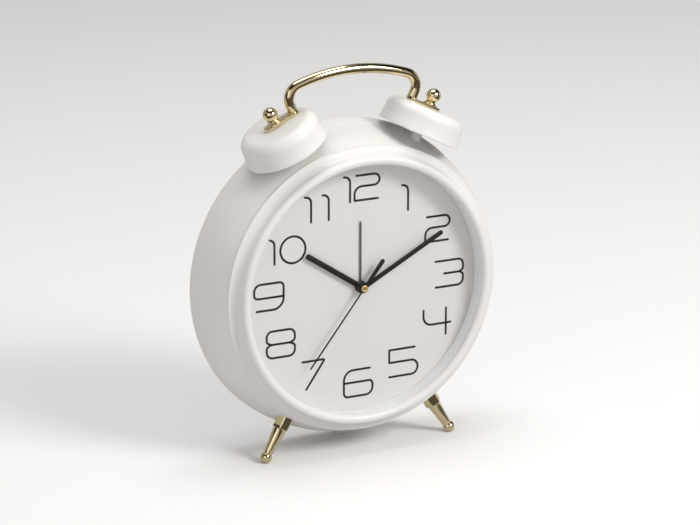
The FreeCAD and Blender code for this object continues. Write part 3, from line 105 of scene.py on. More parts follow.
def skin(name, grids, material, body, replaces=(), loop=True, caps=False, crease=35.0):
    """One mesh over grids of points in millimetres from the middle of the ring's front.

    Each grid has rows of columns of points, and every four neighbours make a face. The columns
    always close on themselves. loop joins the last row to the first, and caps closes the first
    and the last row with a face each.
    """
    points = []
    faces = []
    base = 0
    for grid in grids:
        rows, columns = grid.shape[:2]
        index = base + np.arange(rows * columns).reshape(rows, columns)
        down = np.roll(index, -1, 0) if loop else index[1:]
        here = index if loop else index[:-1]
        quads = np.stack([here, np.roll(here, -1, 1), np.roll(down, -1, 1), down], -1)
        faces += quads.reshape(-1, 4).tolist()
        if caps:
            faces += [index[0].tolist(), index[-1].tolist()]
        points.append(grid.reshape(-1, 3))
        base += rows * columns
    mesh = bpy.data.meshes.new(name)
    mesh.from_pydata((np.concatenate(points) / MM + CENTRE).tolist(), [], faces)
    form = bmesh.new()
    form.from_mesh(mesh)
    bmesh.ops.remove_doubles(form, verts=form.verts, dist=WELD)
    bmesh.ops.dissolve_degenerate(form, edges=form.edges, dist=SLIVER)
    bmesh.ops.recalc_face_normals(form, faces=form.faces)
    form.to_mesh(mesh)
    form.free()
    mesh.shade_smooth()
    mesh.set_sharp_from_angle(angle=math.radians(crease))
    mesh.materials.append(material)
    piece = bpy.data.objects.new(name, mesh)
    bpy.context.scene.collection.objects.link(piece)
    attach(piece, body)
    if replaces:
        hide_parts(*replaces)


DRUM_PLACE = np.array([[1.0, 0, 0], [0, 0, 1.0], [0, 1.0, 0], [0, 0, 0]])
RING_STEPS = 256


def full_turn(steps):
    """Angles in equal steps round a full turn."""
    return np.linspace(0, 2 * math.pi, steps, endpoint=False)


def turned(outline, place=DRUM_PLACE, steps=RING_STEPS, factor=1.0):
    """A turned surface: each (along, out) goes round the axis as out * (cos a, sin a) at along.

    place holds the two directions across the axis, the axis direction and its origin. factor
    multiplies out, row by row and angle by angle, for a grip or a block that isn't round.
    """
    a = full_turn(steps)
    out = outline[:, 1:2] * factor * np.ones(steps)
    local = np.stack([out * np.cos(a), out * np.sin(a), outline[:, :1] + 0 * out], -1)
    return local @ place[:3] + place[3]


def new_material(name):
    """A material, its node tree and its Principled shader."""
    material = bpy.data.materials.new(name)
    material.use_nodes = True
    return material, material.node_tree, material.node_tree.nodes["Principled BSDF"]


# The faint unevenness of a moulded, sprayed or polished surface: a slow change of gloss, a fine
# grain in it, and a shallow relief. The coordinates are the piece's own, in metres.
grain_group = bpy.data.node_groups.new("fine_surface", "ShaderNodeTree")
for title, start in (("Patch Size", 40.0), ("Grain Size", 900.0), ("Gloss", 0.3), ("Gloss Spread", 0.08),
                     ("Relief", 0.05), ("Tint Spread", 0.03)):
    socket = grain_group.interface.new_socket(title, in_out="INPUT", socket_type="NodeSocketFloat")
    socket.default_value = start
for title, kind in (("Roughness", "NodeSocketFloat"), ("Shade", "NodeSocketFloat"),
                    ("Normal", "NodeSocketVector")):
    grain_group.interface.new_socket(title, in_out="OUTPUT", socket_type=kind)


def add(tree, kind, links=(), **values):
    """A node of the kind, with its settings, its socket values and its incoming links."""
    node = tree.nodes.new(kind)
    for key, value in values.items():
        if hasattr(node, key):
            setattr(node, key, value)
        else:
            node.inputs[key.replace("_", " ")].default_value = value
    for socket, source in links:
        tree.links.new(source, node.inputs[socket])
    return node


# The two noises each lie about a half, so their sum less one swings about nought.
group_in = add(grain_group, "NodeGroupInput")
place_in = add(grain_group, "ShaderNodeTexCoord")
patches = add(grain_group, "ShaderNodeTexNoise", [("Vector", place_in.outputs["Object"]),
              ("Scale", group_in.outputs["Patch Size"])], Detail=3.0)
specks = add(grain_group, "ShaderNodeTexNoise", [("Vector", place_in.outputs["Object"]),
             ("Scale", group_in.outputs["Grain Size"])], Detail=2.0)
both = add(grain_group, "ShaderNodeMath", [(0, patches.outputs["Fac"]), (1, specks.outputs["Fac"])],
           operation="ADD")
swing = add(grain_group, "ShaderNodeMath", [(0, both.outputs[0])], operation="SUBTRACT")
swing.inputs[1].default_value = 1.0
rougher = add(grain_group, "ShaderNodeMath", [(0, swing.outputs[0]), (1, group_in.outputs["Gloss Spread"]),
              (2, group_in.outputs["Gloss"])], operation="MULTIPLY_ADD")
shade = add(grain_group, "ShaderNodeMath", [(0, swing.outputs[0]), (1, group_in.outputs["Tint Spread"])],
            operation="MULTIPLY_ADD")
shade.inputs[2].default_value = 1.0
relief = add(grain_group, "ShaderNodeBump", [("Height", specks.outputs["Fac"]),
             ("Strength", group_in.outputs["Relief"])], Distance=0.0002)
add(grain_group, "NodeGroupOutput", [("Roughness", rougher.outputs[0]), ("Shade", shade.outputs[0]),
    ("Normal", relief.outputs["Normal"])])
COAT_GLOSS = 0.12


def surfaced(name, colour, gloss, spread=0.06, relief=0.04, tint=0.02, patch=35.0, grain=900.0,
             metal=0.0, coat=0.0):
    """A material of one base colour with the fine surface above."""
    material, tree, shader = new_material(name)
    fine = add(tree, "ShaderNodeGroup", node_tree=grain_group)
    for title, value in (("Patch Size", patch), ("Grain Size", grain), ("Gloss", gloss),
                         ("Gloss Spread", spread), ("Relief", relief), ("Tint Spread", tint)):
        fine.inputs[title].default_value = value
    tinted = add(tree, "ShaderNodeVectorMath", [("Scale", fine.outputs["Shade"])], operation="SCALE")
    tinted.inputs[0].default_value = colour
    tree.links.new(tinted.outputs[0], shader.inputs["Base Color"])
    tree.links.new(fine.outputs["Roughness"], shader.inputs["Roughness"])
    tree.links.new(fine.outputs["Normal"], shader.inputs["Normal"])
    shader.inputs["Metallic"].default_value = metal
    shader.inputs["Coat Weight"].default_value = coat
    shader.inputs["Coat Roughness"].default_value = COAT_GLOSS
    return material


white_moulding = surfaced("white_moulding", (0.835, 0.815, 0.79), gloss=0.36, coat=0.15)
BEAD, OPENING = 3.45, 93.1
COVE, RIM, RIM_EDGE, RIM_THICK = 7.0, 107.0, 0.5, 1.5
RING_BACK, SKIRT_BACK, SKIRT_R, SKIRT_BORE = 11.95, 21.95, 102.8, 98.15
ring_outline = np.concatenate([
    arc(BEAD, OPENING + BEAD, BEAD, 270, 92, 40),
    arc(BEAD, RIM, COVE, 270, 355.9, 30),
    arc(BEAD + COVE + RIM_EDGE, RIM - RIM_EDGE, RIM_EDGE, 180, 90, 7),
    arc(BEAD + COVE + RIM_THICK - RIM_EDGE, RIM - RIM_EDGE, RIM_EDGE, 90, 0, 7),
    filleted([(RING_BACK, RIM - 1.0, 0.1), (RING_BACK, SKIRT_R, 0.2), (SKIRT_BACK, SKIRT_R, 0.4),
              (SKIRT_BACK, SKIRT_BORE, 0.4), (5.6, SKIRT_BORE, 0.2), (3.6, SKIRT_BORE, 0.2),
              (3.55, 94.0, 0.1), (3.46, 93.2, 0.05)], closed=False),
])
skin("front_ring", [turned(ring_outline)], white_moulding, "clock", ["bezel_ring"])

# Lens: a clear flat pane, two millimetres thick. Light that falls on the dial passes straight
# through it, and what looks at it sees its two polished faces.
glass, glass_tree, pane = new_material("clear_pane")
pane.inputs["Base Color"].default_value = (0.985, 0.985, 0.98, 1)
pane.inputs["Roughness"].default_value = 0.0
pane.inputs["IOR"].default_value = 1.2
pane.inputs["Transmission Weight"].default_value = 1.0
rays = add(glass_tree, "ShaderNodeLightPath")
passing = add(glass_tree, "ShaderNodeMath", [(0, rays.outputs["Is Shadow Ray"]),
              (1, rays.outputs["Is Diffuse Ray"])], operation="MAXIMUM")
clear = add(glass_tree, "ShaderNodeBsdfTransparent", Color=(0.97, 0.965, 0.96, 1))
chosen = add(glass_tree, "ShaderNodeMixShader", [(0, passing.outputs[0]), (1, pane.outputs[0]),
             (2, clear.outputs[0])])
glass_tree.links.new(chosen.outputs[0], glass_tree.nodes["Material Output"].inputs["Surface"])


def finished(node, material):
    """A solid of the frame that keeps its own shape gets its finish."""
    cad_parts[node].data.materials.clear()
    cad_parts[node].data.materials.append(material)


finished("lens", glass)

# Inner wall: a white moulded ring that keeps the lens away from the dial. Its face is glossy, and
# its base colour is tinted cool all round, a painted cool sheen for the light it takes at the right and
# below.
wall_moulding = surfaced("wall_moulding", (0.88, 0.905, 0.925), gloss=0.28, spread=0.05, relief=0.03,
                         coat=0.3)
WALL_FRONT, WALL_BACK, WALL_R, WALL_BORE, WALL_EDGE = 5.55, 17.0, 98.05, 93.75, 94.0
wall_outline = filleted([(WALL_FRONT, WALL_EDGE, 0.25), (WALL_FRONT, WALL_R, 0.2),
                         (WALL_BACK, WALL_R, 0.2), (WALL_BACK, WALL_EDGE, 0.35), (16.1, WALL_BORE, 0.2),
                         (6.6, WALL_BORE, 0.3)], steps=5)
skin("inner_wall", [turned(wall_outline)], wall_moulding, "clock", ["spacer_ring"])

# Dial: a warm white printed sheet with a fine tooth. The twelve numerals are drawn with one thin
# line of ink with round ends, all upright, on a circle a little inside the wall.
dial_card = surfaced("dial_card", (0.81, 0.785, 0.772), gloss=0.62, spread=0.05, relief=0.08, tint=0.02,
                     patch=18.0, grain=2500.0)
finished("dial_plate", dial_card)

INK_WIDE, INK_THICK, INK_UNDER, INK_FLAT = 1.75, 0.03, 0.01, 0.9
DIAL_FRONT = 17.1
TALL = 19.4
SAME_SPOT = 1e-3


def inked(path, closed=False):
    """A flat line of ink along a path in the dial's plane, in millimetres right and up.

    The two edges lie half the width to each side of the path's direction. Beyond each end the
    half width falls off as the cosine while the path runs on as the sine, which is a round end.
    """
    keep = np.ones(len(path), bool)
    keep[1:] = np.linalg.norm(np.diff(path, axis=0), axis=1) > SAME_SPOT
    path = path[keep]
    half = np.full(len(path), INK_WIDE / 2)
    if closed:
        run = np.roll(path, -1, 0) - np.roll(path, 1, 0)
    else:
        turn = np.radians(np.linspace(0, 90, 7)[1:])[:, None]
        run = np.gradient(path, axis=0)
        run /= np.linalg.norm(run, axis=1, keepdims=True)
        before = path[0] - run[0] * np.sin(turn[::-1]) * INK_WIDE / 2
        after = path[-1] + run[-1] * np.sin(turn) * INK_WIDE / 2
        path = np.concatenate([before, path, after])
        run = np.concatenate([np.repeat(run[:1], len(turn), 0), run, np.repeat(run[-1:], len(turn), 0)])
        ends = INK_WIDE / 2 * np.cos(turn[:, 0])
        half = np.concatenate([ends[::-1], half, ends])
    run = run / np.linalg.norm(run, axis=1, keepdims=True)
    side = np.stack([-run[:, 1], run[:, 0]], 1)
    rows = []
    for reach, depth in ((-1, INK_UNDER), (-INK_FLAT, -INK_THICK), (INK_FLAT, -INK_THICK), (1, INK_UNDER)):
        flat = path + side * (half * reach)[:, None]
        rows.append(np.stack([flat[:, 0], np.full(len(flat), DIAL_FRONT + depth), flat[:, 1]], 1))
    return np.stack(rows, 1)


def figure_one(hook=4.9):
    """The strokes of a one, with the reach of its hook."""
    return [[(-hook, TALL - 0.1, 0), (0, TALL - 0.4, 4.4), (0, 0, 0)]]


# Each stroke of a figure is its corners (right, up, bend), from the figure's lower left.
FIGURES = {
    "two": [[(1.3, TALL, 0), (20, TALL, 4.29), (20, 10.8, 4.29), (0, 10.8, 5.8), (0, 0, 0.35), (18.7, 0, 0)]],
    "three": [[(0, TALL, 0), (23, TALL, 4.4), (23, 11.3, 2.6), (19.8, 9.8, 0)],
              [(19.8, 9.8, 0), (23, 8.3, 2.6), (23, 0, 4.8), (0.4, 0, 0)],
              [(7.4, 9.8, 0), (19.8, 9.8, 0)]],
    "four": [[(0, TALL, 0), (0, 8.3, 6.4), (22.4, 8.3, 0)], [(18.6, TALL, 0), (18.6, 0, 0)]],
    "five": [[(20.9, TALL, 0), (0, TALL, 0.35), (0, 10.3, 0.35), (23.4, 10.3, 5.13), (23.4, 0, 5.13),
              (0, 0, 0)]],
    "six": [[(20.9, TALL, 0), (0, TALL, 7.4), (0, 0, 3.2), (23.3, 0, 5.4), (23.3, 10.3, 3.0), (0, 10.3, 0)]],
    "seven": [[(0, TALL, 0), (17.9, TALL, 0.5), (3.1, 0, 0)]],
    "eight": [[(3.7, 9.7, 0), (0, 11.4, 2.4), (0, TALL, 4.4), (22.3, TALL, 4.4), (22.3, 11.4, 2.4),
               (18.6, 9.7, 0)],
              [(3.7, 9.7, 0), (0, 8.0, 2.4), (0, 0, 4.6), (22.3, 0, 4.6), (22.3, 8.0, 2.4), (18.6, 9.7, 0)],
              [(3.7, 9.7, 0), (18.6, 9.7, 0)]],
    "nine": [[(23.1, 9.1, 0), (0, 9.1, 3.0), (0, TALL, 5.0), (23.1, TALL, 3.4), (23.1, 0, 8.2), (1.9, 0, 0)]],
}
# Each numeral is (strokes, left, low, high), because the printed figures differ a little in height.
NUMERALS = [
    (figure_one(), -8.0, 63.8, 82.7), (FIGURES["two"], -4.4, 64.3, 82.7), (figure_one(), 38.8, 52.4, 71.4),
    (FIGURES["two"], 53.1, 25.9, 44.7), (FIGURES["three"], 61.7, -9.75, 10.0),
    (FIGURES["four"], 52.2, -46.2, -26.1), (FIGURES["five"], 24.1, -73.2, -52.5),
    (FIGURES["six"], -12.9, -83.4, -63.2), (FIGURES["seven"], -46.3, -72.4, -51.2),
    (FIGURES["eight"], -74.5, -44.5, -24.4), (FIGURES["nine"], -84.0, -8.1, 11.65),
    (figure_one(3.4), -67.9, 25.1, 43.5), (figure_one(), -38.95, 52.8, 71.6),
    (figure_one(), -24.95, 52.8, 71.6),
]
NOUGHT_RIGHT, NOUGHT_UP, NOUGHT_R, NOUGHT_STEPS = -53.4, 34.3, 9.85, 48
ink = surfaced("dial_ink", (0.016, 0.014, 0.014), gloss=0.5, spread=0.1, relief=0.1, tint=0.1, grain=1800.0)
lines = []
for strokes, left, low, high in NUMERALS:
    for stroke in strokes:
        lines.append(inked(filleted(stroke, steps=12, closed=False) * (1, (high - low) / TALL) + (left, low)))
nought = arc(NOUGHT_RIGHT, NOUGHT_UP, NOUGHT_R, 0, 360 - 360 / NOUGHT_STEPS, NOUGHT_STEPS)
skin("numerals", lines, ink, "clock", loop=False, caps=True)
skin("numeral_nought", [inked(nought, closed=True)], ink, "clock")

# Drum: spun from sheet and sprayed satin white. It widens in one long curve from the ring to the
# back, rolls over a round edge, and ends in a flat lip that the back cover lies on.
white_paint = surfaced("white_paint", (0.84, 0.82, 0.795), gloss=0.42, spread=0.05, relief=0.06, tint=0.015,
                       grain=1400.0, coat=0.1)
DRUM_FRONT, DRUM_SIDE, DRUM_BACK = 12.0, 54.0, 60.0
DRUM_R, SIDE_CURVE, BACK_ROUND, SHEET = 117.0, 90.0, 6.0, 1.2
FRONT_BORE, LIP_BORE, LIP_R = 102.95, 100.0, 110.9
drum_outline = np.concatenate([
    filleted([(DRUM_FRONT, FRONT_BORE, 0.1), (DRUM_FRONT, 105.6, 0.1), (DRUM_FRONT + 0.02, 106.57, 0.35),
              (DRUM_FRONT + 0.6, 106.9, 0.1)], steps=4, closed=False),
    arc(DRUM_SIDE, DRUM_R - SIDE_CURVE, SIDE_CURVE, 117.0, 90, 60),
    arc(DRUM_SIDE, DRUM_R - BACK_ROUND, BACK_ROUND, 87, 0, 20),
    filleted([(DRUM_BACK, LIP_R, 0.1), (DRUM_BACK, LIP_BORE, 0.5), (DRUM_BACK - SHEET, LIP_BORE, 0.4),
              (DRUM_BACK - SHEET, LIP_R, 0.1)], steps=4, closed=False),
    arc(DRUM_SIDE, DRUM_R - BACK_ROUND, BACK_ROUND - SHEET, 0, 87, 12),
    arc(DRUM_SIDE, DRUM_R - SIDE_CURVE, SIDE_CURVE - SHEET, 90, 117.2, 30),
    [(DRUM_FRONT + SHEET, FRONT_BORE)],
])
skin("drum", [turned(drum_outline)], white_paint, "clock", ["drum_shell"])


def on_drum(along):
    """Radius of the drum's outside at a depth along, from the circle of its side."""
    return DRUM_R - SIDE_CURVE + np.sqrt(SIDE_CURVE ** 2 - (DRUM_SIDE - along) ** 2)


# Back cover: a white moulding screwed to the drum's lip, with a square well over the movement.
# The well's mouth is rounded, and two shallow steps stiffen the flat face.
COVER_FRONT, COVER_FACE, COVER_BACK, COVER_R = 60.05, 61.2, 61.55, 108
WELL_FLOOR, WELL_HALF = 38.55, 30.0
SQUARE_POWER = 14.0
cover_moulding = surfaced("cover_moulding", (0.80, 0.785, 0.765), gloss=0.5, spread=0.08, relief=0.12,
                          tint=0.015, grain=1600.0)


def squared(a):
    """Radius factor of a square with round corners: |cos a|^n + |sin a|^n to the power -1/n."""
    return (np.abs(np.cos(a)) ** SQUARE_POWER + np.abs(np.sin(a)) ** SQUARE_POWER) ** (-1 / SQUARE_POWER)


# Each row is (depth, size, share of the square in the row's shape).
cover_rows = np.array([
    (WELL_FLOOR + 0.2, WELL_HALF, 1), (50, WELL_HALF, 1), (60.9, WELL_HALF, 1), (61.3, WELL_HALF + 0.12, 1),
    (61.5, WELL_HALF + 0.35, 1), (COVER_BACK, WELL_HALF + 0.7, 1), (COVER_BACK, 33.5, 1), (61.45, 33.8, 1),
    (61.3, 33.9, 1), (COVER_FACE, 34.2, 1), (COVER_FACE, 36, 0.95), (COVER_FACE, 42, 0.6),
    (COVER_FACE, 54, 0.15), (COVER_FACE, 66, 0), (COVER_FACE, 80, 0), (COVER_FACE, 95.5, 0),
    (61.3, 95.8, 0), (61.45, 95.9, 0), (COVER_BACK, 96.2, 0), (COVER_BACK, 101, 0), (COVER_BACK, 107.2, 0),
    (61.45, 107.65, 0), (COVER_FACE, 107.9, 0), (60.8, COVER_R, 0), (COVER_FRONT, COVER_R, 0),
    (COVER_FRONT, 100.5, 0), (COVER_FRONT, 70, 0), (COVER_FRONT, 44, 0.5), (COVER_FRONT, WELL_HALF + 1.5, 1),
    (50, WELL_HALF + 1.4, 1), (WELL_FLOOR + 0.2, WELL_HALF + 1.4, 1), (WELL_FLOOR, WELL_HALF + 1.2, 1),
    (WELL_FLOOR, WELL_HALF + 0.2, 1),
])
cover_shape = 1 + cover_rows[:, 2:] * (squared(full_turn(RING_STEPS)) - 1)
skin("back_panel", [turned(cover_rows, factor=cover_shape)], cover_moulding, "clock",
     ["back_cover"], crease=30.0)

# Bells: pressed steel hats, sprayed like the drum. The side narrows a little to the shoulder,
# and the rim is turned smooth. Each leans out from the drum on its own post.
LEAN = math.radians(26.3)
BELL_DEPTH, BELL_RIM, BELL_TALL, BELL_LIP = 28.2, 118.0, 19.4, 0.6
SIDE_R, SIDE_FLARE, SIDE_TALL = 29.6, 1.4, 11.4
CROWN_FLAT, CROWN_BEND, BELL_SHOULDER = 21.8, 7.8, 11.6
STUD_BORE = 2.05
SIDES = (("left", -1), ("right", 1))


def leaning(side, distance):
    """Directions and origin for a piece on a bell's axis, at a distance from the drum's axis."""
    up = np.array([side * math.sin(LEAN), 0, math.cos(LEAN)])
    over = np.array([math.cos(LEAN), 0, -side * math.sin(LEAN)])
    return np.array([over, (0, 1.0, 0), up, up * distance + (0, BELL_DEPTH, 0)])


flare = np.linspace(0.5, 11.2, 16)
outside = SIDE_R + SIDE_FLARE * (1 - flare / SIDE_TALL) ** 2
bell_outline = np.concatenate([
    arc(BELL_LIP, 30.25, BELL_LIP, 270, 180, 6)[:-1], arc(BELL_LIP, 30.34, BELL_LIP, 180, 90, 6),
    np.stack([flare + 0.4, outside], 1)[1:],
    arc(BELL_SHOULDER, CROWN_FLAT, CROWN_BEND, 88, 0, 18),
    filleted([(BELL_TALL, 21.7, 0.1), (BELL_TALL, STUD_BORE, 0.1), (BELL_TALL - SHEET, STUD_BORE, 0.1),
              (BELL_TALL - SHEET, 21.7, 0.1)], steps=3, closed=False),
    arc(BELL_SHOULDER, CROWN_FLAT, CROWN_BEND - SHEET, 0, 88, 12),
    np.stack([flare + 0.4, outside - SHEET], 1)[::-1],
])
for name, side in SIDES:
    skin(f"bell_{name}_hat", [turned(bell_outline, leaning(side, BELL_RIM), 160)], white_paint, "clock",
         [f"bell_{name}"])

# Bell posts: turned rods, sprayed with the case. The foot is shaped to the drum, and a thin stud
# goes on through the bell into the finial.
POST, POST_START, POST_TOP = 3.9, 113.0, 136.1
SEAT_ROUNDS = 8


def seated(radii, place, start):
    """The edge of a rod's end that meets the drum: start moves along the axis until the point's
    distance from the drum's axis is the drum's radius at its depth, less half the sheet."""
    a = full_turn(len(radii))
    along = np.full(len(radii), float(start))
    for _ in range(SEAT_ROUNDS):
        local = np.stack([radii * np.cos(a), radii * np.sin(a), along], -1) @ place[:3] + place[3]
        along -= np.hypot(local[:, 0], local[:, 2]) - on_drum(local[:, 1]) + SHEET / 2
    return local


for name, side in SIDES:
    axis = leaning(side, 0.0)
    foot = seated(np.full(64, POST), axis, POST_START)
    column = turned(np.array([(115.5, POST), (125, POST), (136.0, POST), (POST_TOP, POST - 0.3)]), axis, 64)
    skin(f"bell_post_{name}_rod", [np.concatenate([foot[None], column])], white_paint, "clock",
         [f"bell_post_{name}"], loop=False, caps=True)

# Handle: one steel rod bent to a shallow arch with tight shoulders, plated champagne gold. Its
# legs stand square on the bell tops, and their ends are pressed into flat feet.
gold = surfaced("champagne_gold", (0.80, 0.68, 0.43), gloss=0.09, spread=0.04, relief=0.02, tint=0.05,
                patch=60.0, grain=1500.0, metal=1.0)
ROD, JOINT_BEAD, JOINT_FALL, JOINT_UP = 3.6, 0.45, 1.1, 0.9
CROWN, CROWN_HALF, CROWN_TOP, SHOULDER = 134.5, 43.34, 158.13, 10.5
BELL_TOP, FOOT_THICK, FOOT_WIDE, FOOT_IN, FOOT_OUT, FOOT_BEVEL = 137.4, 2.4, 8.2, 19.3, 8.9, 0.35
slope = math.asin(CROWN_HALF / CROWN)
outward = np.array([math.sin(LEAN), math.cos(LEAN)])
along_top = np.array([math.cos(LEAN), -math.sin(LEAN)])
shoulder_end = np.array([CROWN_HALF, CROWN_TOP - CROWN + CROWN * math.cos(slope)])
shoulder_mid = shoulder_end - SHOULDER * np.array([math.sin(slope), math.cos(slope)])
leg_top = shoulder_mid + along_top * SHOULDER
leg_run = (leg_top @ outward) - BELL_TOP - JOINT_UP
leg_share = np.linspace(0, 1, 9)[:, None]
half_path = np.concatenate([
    leg_top - outward * leg_run * (1 - leg_share),
    arc(*shoulder_mid, SHOULDER, -math.degrees(LEAN), 90 - math.degrees(slope), 24)[1:],
    arc(0, CROWN_TOP - CROWN, CROWN, 90 - math.degrees(slope), 90, 24)[1:],
])
rod_path = np.concatenate([half_path, (half_path * (-1, 1))[::-1][1:]])
heading = np.gradient(rod_path, axis=0)
heading /= np.linalg.norm(heading, axis=1, keepdims=True)
inward = np.stack([-heading[:, 1], heading[:, 0]], 1)
travel = np.concatenate([[0], np.cumsum(np.linalg.norm(np.diff(rod_path, axis=0), axis=1))])
from_end = np.minimum(travel, travel[-1] - travel)
thick = ROD + JOINT_BEAD * np.exp(-(from_end / JOINT_FALL) ** 2)
rod_turn = full_turn(48)
spread_in = (thick[:, None] * np.cos(rod_turn))[..., None] * inward[:, None]
rod_grid = np.stack([
    rod_path[:, None, 0] + spread_in[..., 0],
    BELL_DEPTH + thick[:, None] * np.sin(rod_turn),
    rod_path[:, None, 1] + spread_in[..., 1],
], -1)
skin("handle_rod", [rod_grid], gold, "clock", ["handle"], loop=False, caps=True)


def stadium(low, high, wide):
    """Outline of a flat bar with round ends: two half circles, of radius half the width."""
    radius = wide / 2
    return np.concatenate([arc(high - radius, 0, radius, -90, 90, 14),
                           arc(low + radius, 0, radius, 90, 270, 14)])


def pressed(outline, start, end, bevel, place):
    """A flat plate: its outline drawn in by the bevel at both faces, along the place's axis."""
    run = np.roll(outline, -1, 0) - np.roll(outline, 1, 0)
    side = np.stack([run[:, 1], -run[:, 0]], 1)
    side /= np.linalg.norm(side, axis=1, keepdims=True)
    rows = []
    for inset, along in ((1, start), (0.3, start + 0.3 * bevel), (0, start + bevel),
                         (0, end - bevel), (0.3, end - 0.3 * bevel), (1, end)):
        flat = outline - side * inset * bevel
        rows.append(np.column_stack([flat, np.full(len(flat), along)]))
    return np.stack(rows) @ place[:3] + place[3]


for name, side in SIDES:
    seat = leaning(side, BELL_TOP)
    seat[0] *= side
    plate = pressed(stadium(-FOOT_IN, FOOT_OUT, FOOT_WIDE), 0.0, FOOT_THICK, FOOT_BEVEL, seat)
    skin(f"handle_foot_{name}", [plate], gold, "clock", loop=False, caps=True)

# Finials: turned nuts with a washer, a collar and a ball. They screw down on the posts' studs and
# clamp the handle's feet and the bells.
WASHER, WASHER_THICK, COLLAR, COLLAR_TOP = 5.3, 1.0, 4.2, 1.6
FINIAL_BALL, BALL_UP = 5.35, 7.05
finial_outline = np.concatenate([
    filleted([(0, STUD_BORE, 0.05), (0, WASHER, 0.15), (WASHER_THICK, WASHER, 0.35),
              (WASHER_THICK, COLLAR + 0.05, 0.1), (COLLAR_TOP, COLLAR, 0.25), (2.5, 2.75, 0.4)],
             steps=6, closed=False)[:-1],
    arc(BALL_UP, 0, FINIAL_BALL, 145.0, 0.0, 36),
])
for name, side in SIDES:
    skin(f"finial_{name}_nut", [turned(finial_outline, leaning(side, BELL_TOP + FOOT_THICK), 72)], gold,
         "clock", [f"finial_{name}"], loop=False, caps=True)

# Legs: turned from one bar, with a hexagon block shaped to the drum, a long cone and a ball with
# a small ground flat. A stud and nut hold each in the drum, which carries the clock's front.
SPLAY, FORWARD = math.radians(32.1), math.radians(5.3)
LEG_JOINT, LEG_DEPTH, LEG_LONG, BALL, BLOCK = 118.4, 20.4, 22.9, 4.3, 6.5
FLOOR = -CENTRE[2] * MM
BLOCK_CORNER, CORNER_BLEND = 0.975, 60


def hexagon(a):
    """Radius factor of a hexagon of unit circumradius, with its corners cut by a circle: the
    smaller of the two radii, blended as minus the logarithm of the sum of exp(-radius)."""
    edge = math.cos(math.pi / 6) / np.cos(a % (math.pi / 3) - math.pi / 6)
    return -np.log(np.exp(-edge * CORNER_BLEND) + np.exp(-BLOCK_CORNER * CORNER_BLEND)) / CORNER_BLEND


# Each row is (along, radius, share of the hexagon in the row's shape).
LEG_ROWS = [(-6.6, BLOCK, 1), (-3.0, BLOCK, 1), (-0.5, BLOCK, 1), (-0.2, BLOCK - 0.1, 1),
            (-0.05, BLOCK - 0.3, 0.95), (0.0, 4.95, 0), (0.35, 4.85, 0), (6, 4.37, 0), (12, 3.88, 0),
            (18, 3.4, 0), (19.2, 3.3, 0)]
ball_rows = arc(LEG_LONG, 0, BALL, 133, 0, 26)
leg_rows = np.array(LEG_ROWS + [(along, out, 0) for along, out in ball_rows])
block = hexagon(full_turn(96))
for name, side in SIDES:
    down = np.array([side * math.sin(SPLAY), 0, -math.cos(SPLAY)])
    along_leg = down * math.cos(FORWARD) + np.array([0, -math.sin(FORWARD), 0])
    across_leg = np.array([math.cos(SPLAY), 0, side * math.sin(SPLAY)])
    place = np.array([across_leg, np.cross(along_leg, across_leg), along_leg,
                      down * LEG_JOINT + (0, LEG_DEPTH, 0)])
    leg = turned(leg_rows, place, 96, 1 + leg_rows[:, 2:] * (block - 1))
    leg = np.concatenate([seated(BLOCK * block, place, -8.0)[None], leg[1:]])
    leg[..., 2] = np.maximum(leg[..., 2], FLOOR)
    skin(f"leg_{name}_turned", [leg], gold, "clock", [f"leg_{name}"], loop=False,
         caps=True, crease=25.0)

# Rear foot: a moulded rubber stub pushed into the drum, which carries the clock's back.
rubber = surfaced("foot_rubber", (0.80, 0.79, 0.77), gloss=0.75, spread=0.1, relief=0.25, tint=0.15,
                  grain=1200.0)
REAR_DEPTH, REAR = 53.0, 5.0
rear_place = np.array([(1.0, 0, 0), (0, 1.0, 0), (0, 0, 1.0), (0, REAR_DEPTH, FLOOR)])
rear_outline = np.concatenate([
    [(0.0, 0.0)],
    filleted([(0.0, 2.0, 0.1), (0.0, REAR, 0.7), (6.0, REAR, 0.5), (8.2, REAR - 0.4, 0.3)], steps=6,
             closed=False)[1:],
    [(8.6, 4.0), (8.6, 0.0)],
])
skin("rear_pad", [turned(rear_outline, rear_place, 72)], rubber, "clock", ["rear_foot"], loop=False)

# Hands: blanked sheet, sprayed satin black, each riveted to a round hub that grips its pipe. The
# alarm hand is dark metal with a paler raised rib, and the second hand turns in front of them all.
black_lacquer = surfaced("black_lacquer", (0.013, 0.012, 0.012), gloss=0.46, spread=0.08, relief=0.06,
                         tint=0.1)
dark_metal = surfaced("dark_metal", (0.045, 0.040, 0.040), gloss=0.4, spread=0.1, relief=0.03, tint=0.05)
# The rib is a paler grey than the blade, which makes a lighter line along the alarm hand's middle.
pale_rib_metal = surfaced("pale_rib_metal", (0.17, 0.155, 0.155), gloss=0.4, spread=0.1, relief=0.03, tint=0.05)
brass = surfaced("boss_brass", (0.95, 0.72, 0.33), gloss=0.26, spread=0.08, relief=0.03, tint=0.05, metal=0.6)
HUB_GAP, HUB_TALL, LOW_HUB_TALL = 0.6, 1.7, 0.85


def clockwise(degrees):
    """Directions for a hand that lies clockwise from twelve: along it, across it, and back."""
    t = math.radians(degrees)
    return np.array([(math.sin(t), 0, math.cos(t)), (math.cos(t), 0, -math.sin(t)), (0, 1.0, 0), (0, 0, 0)])


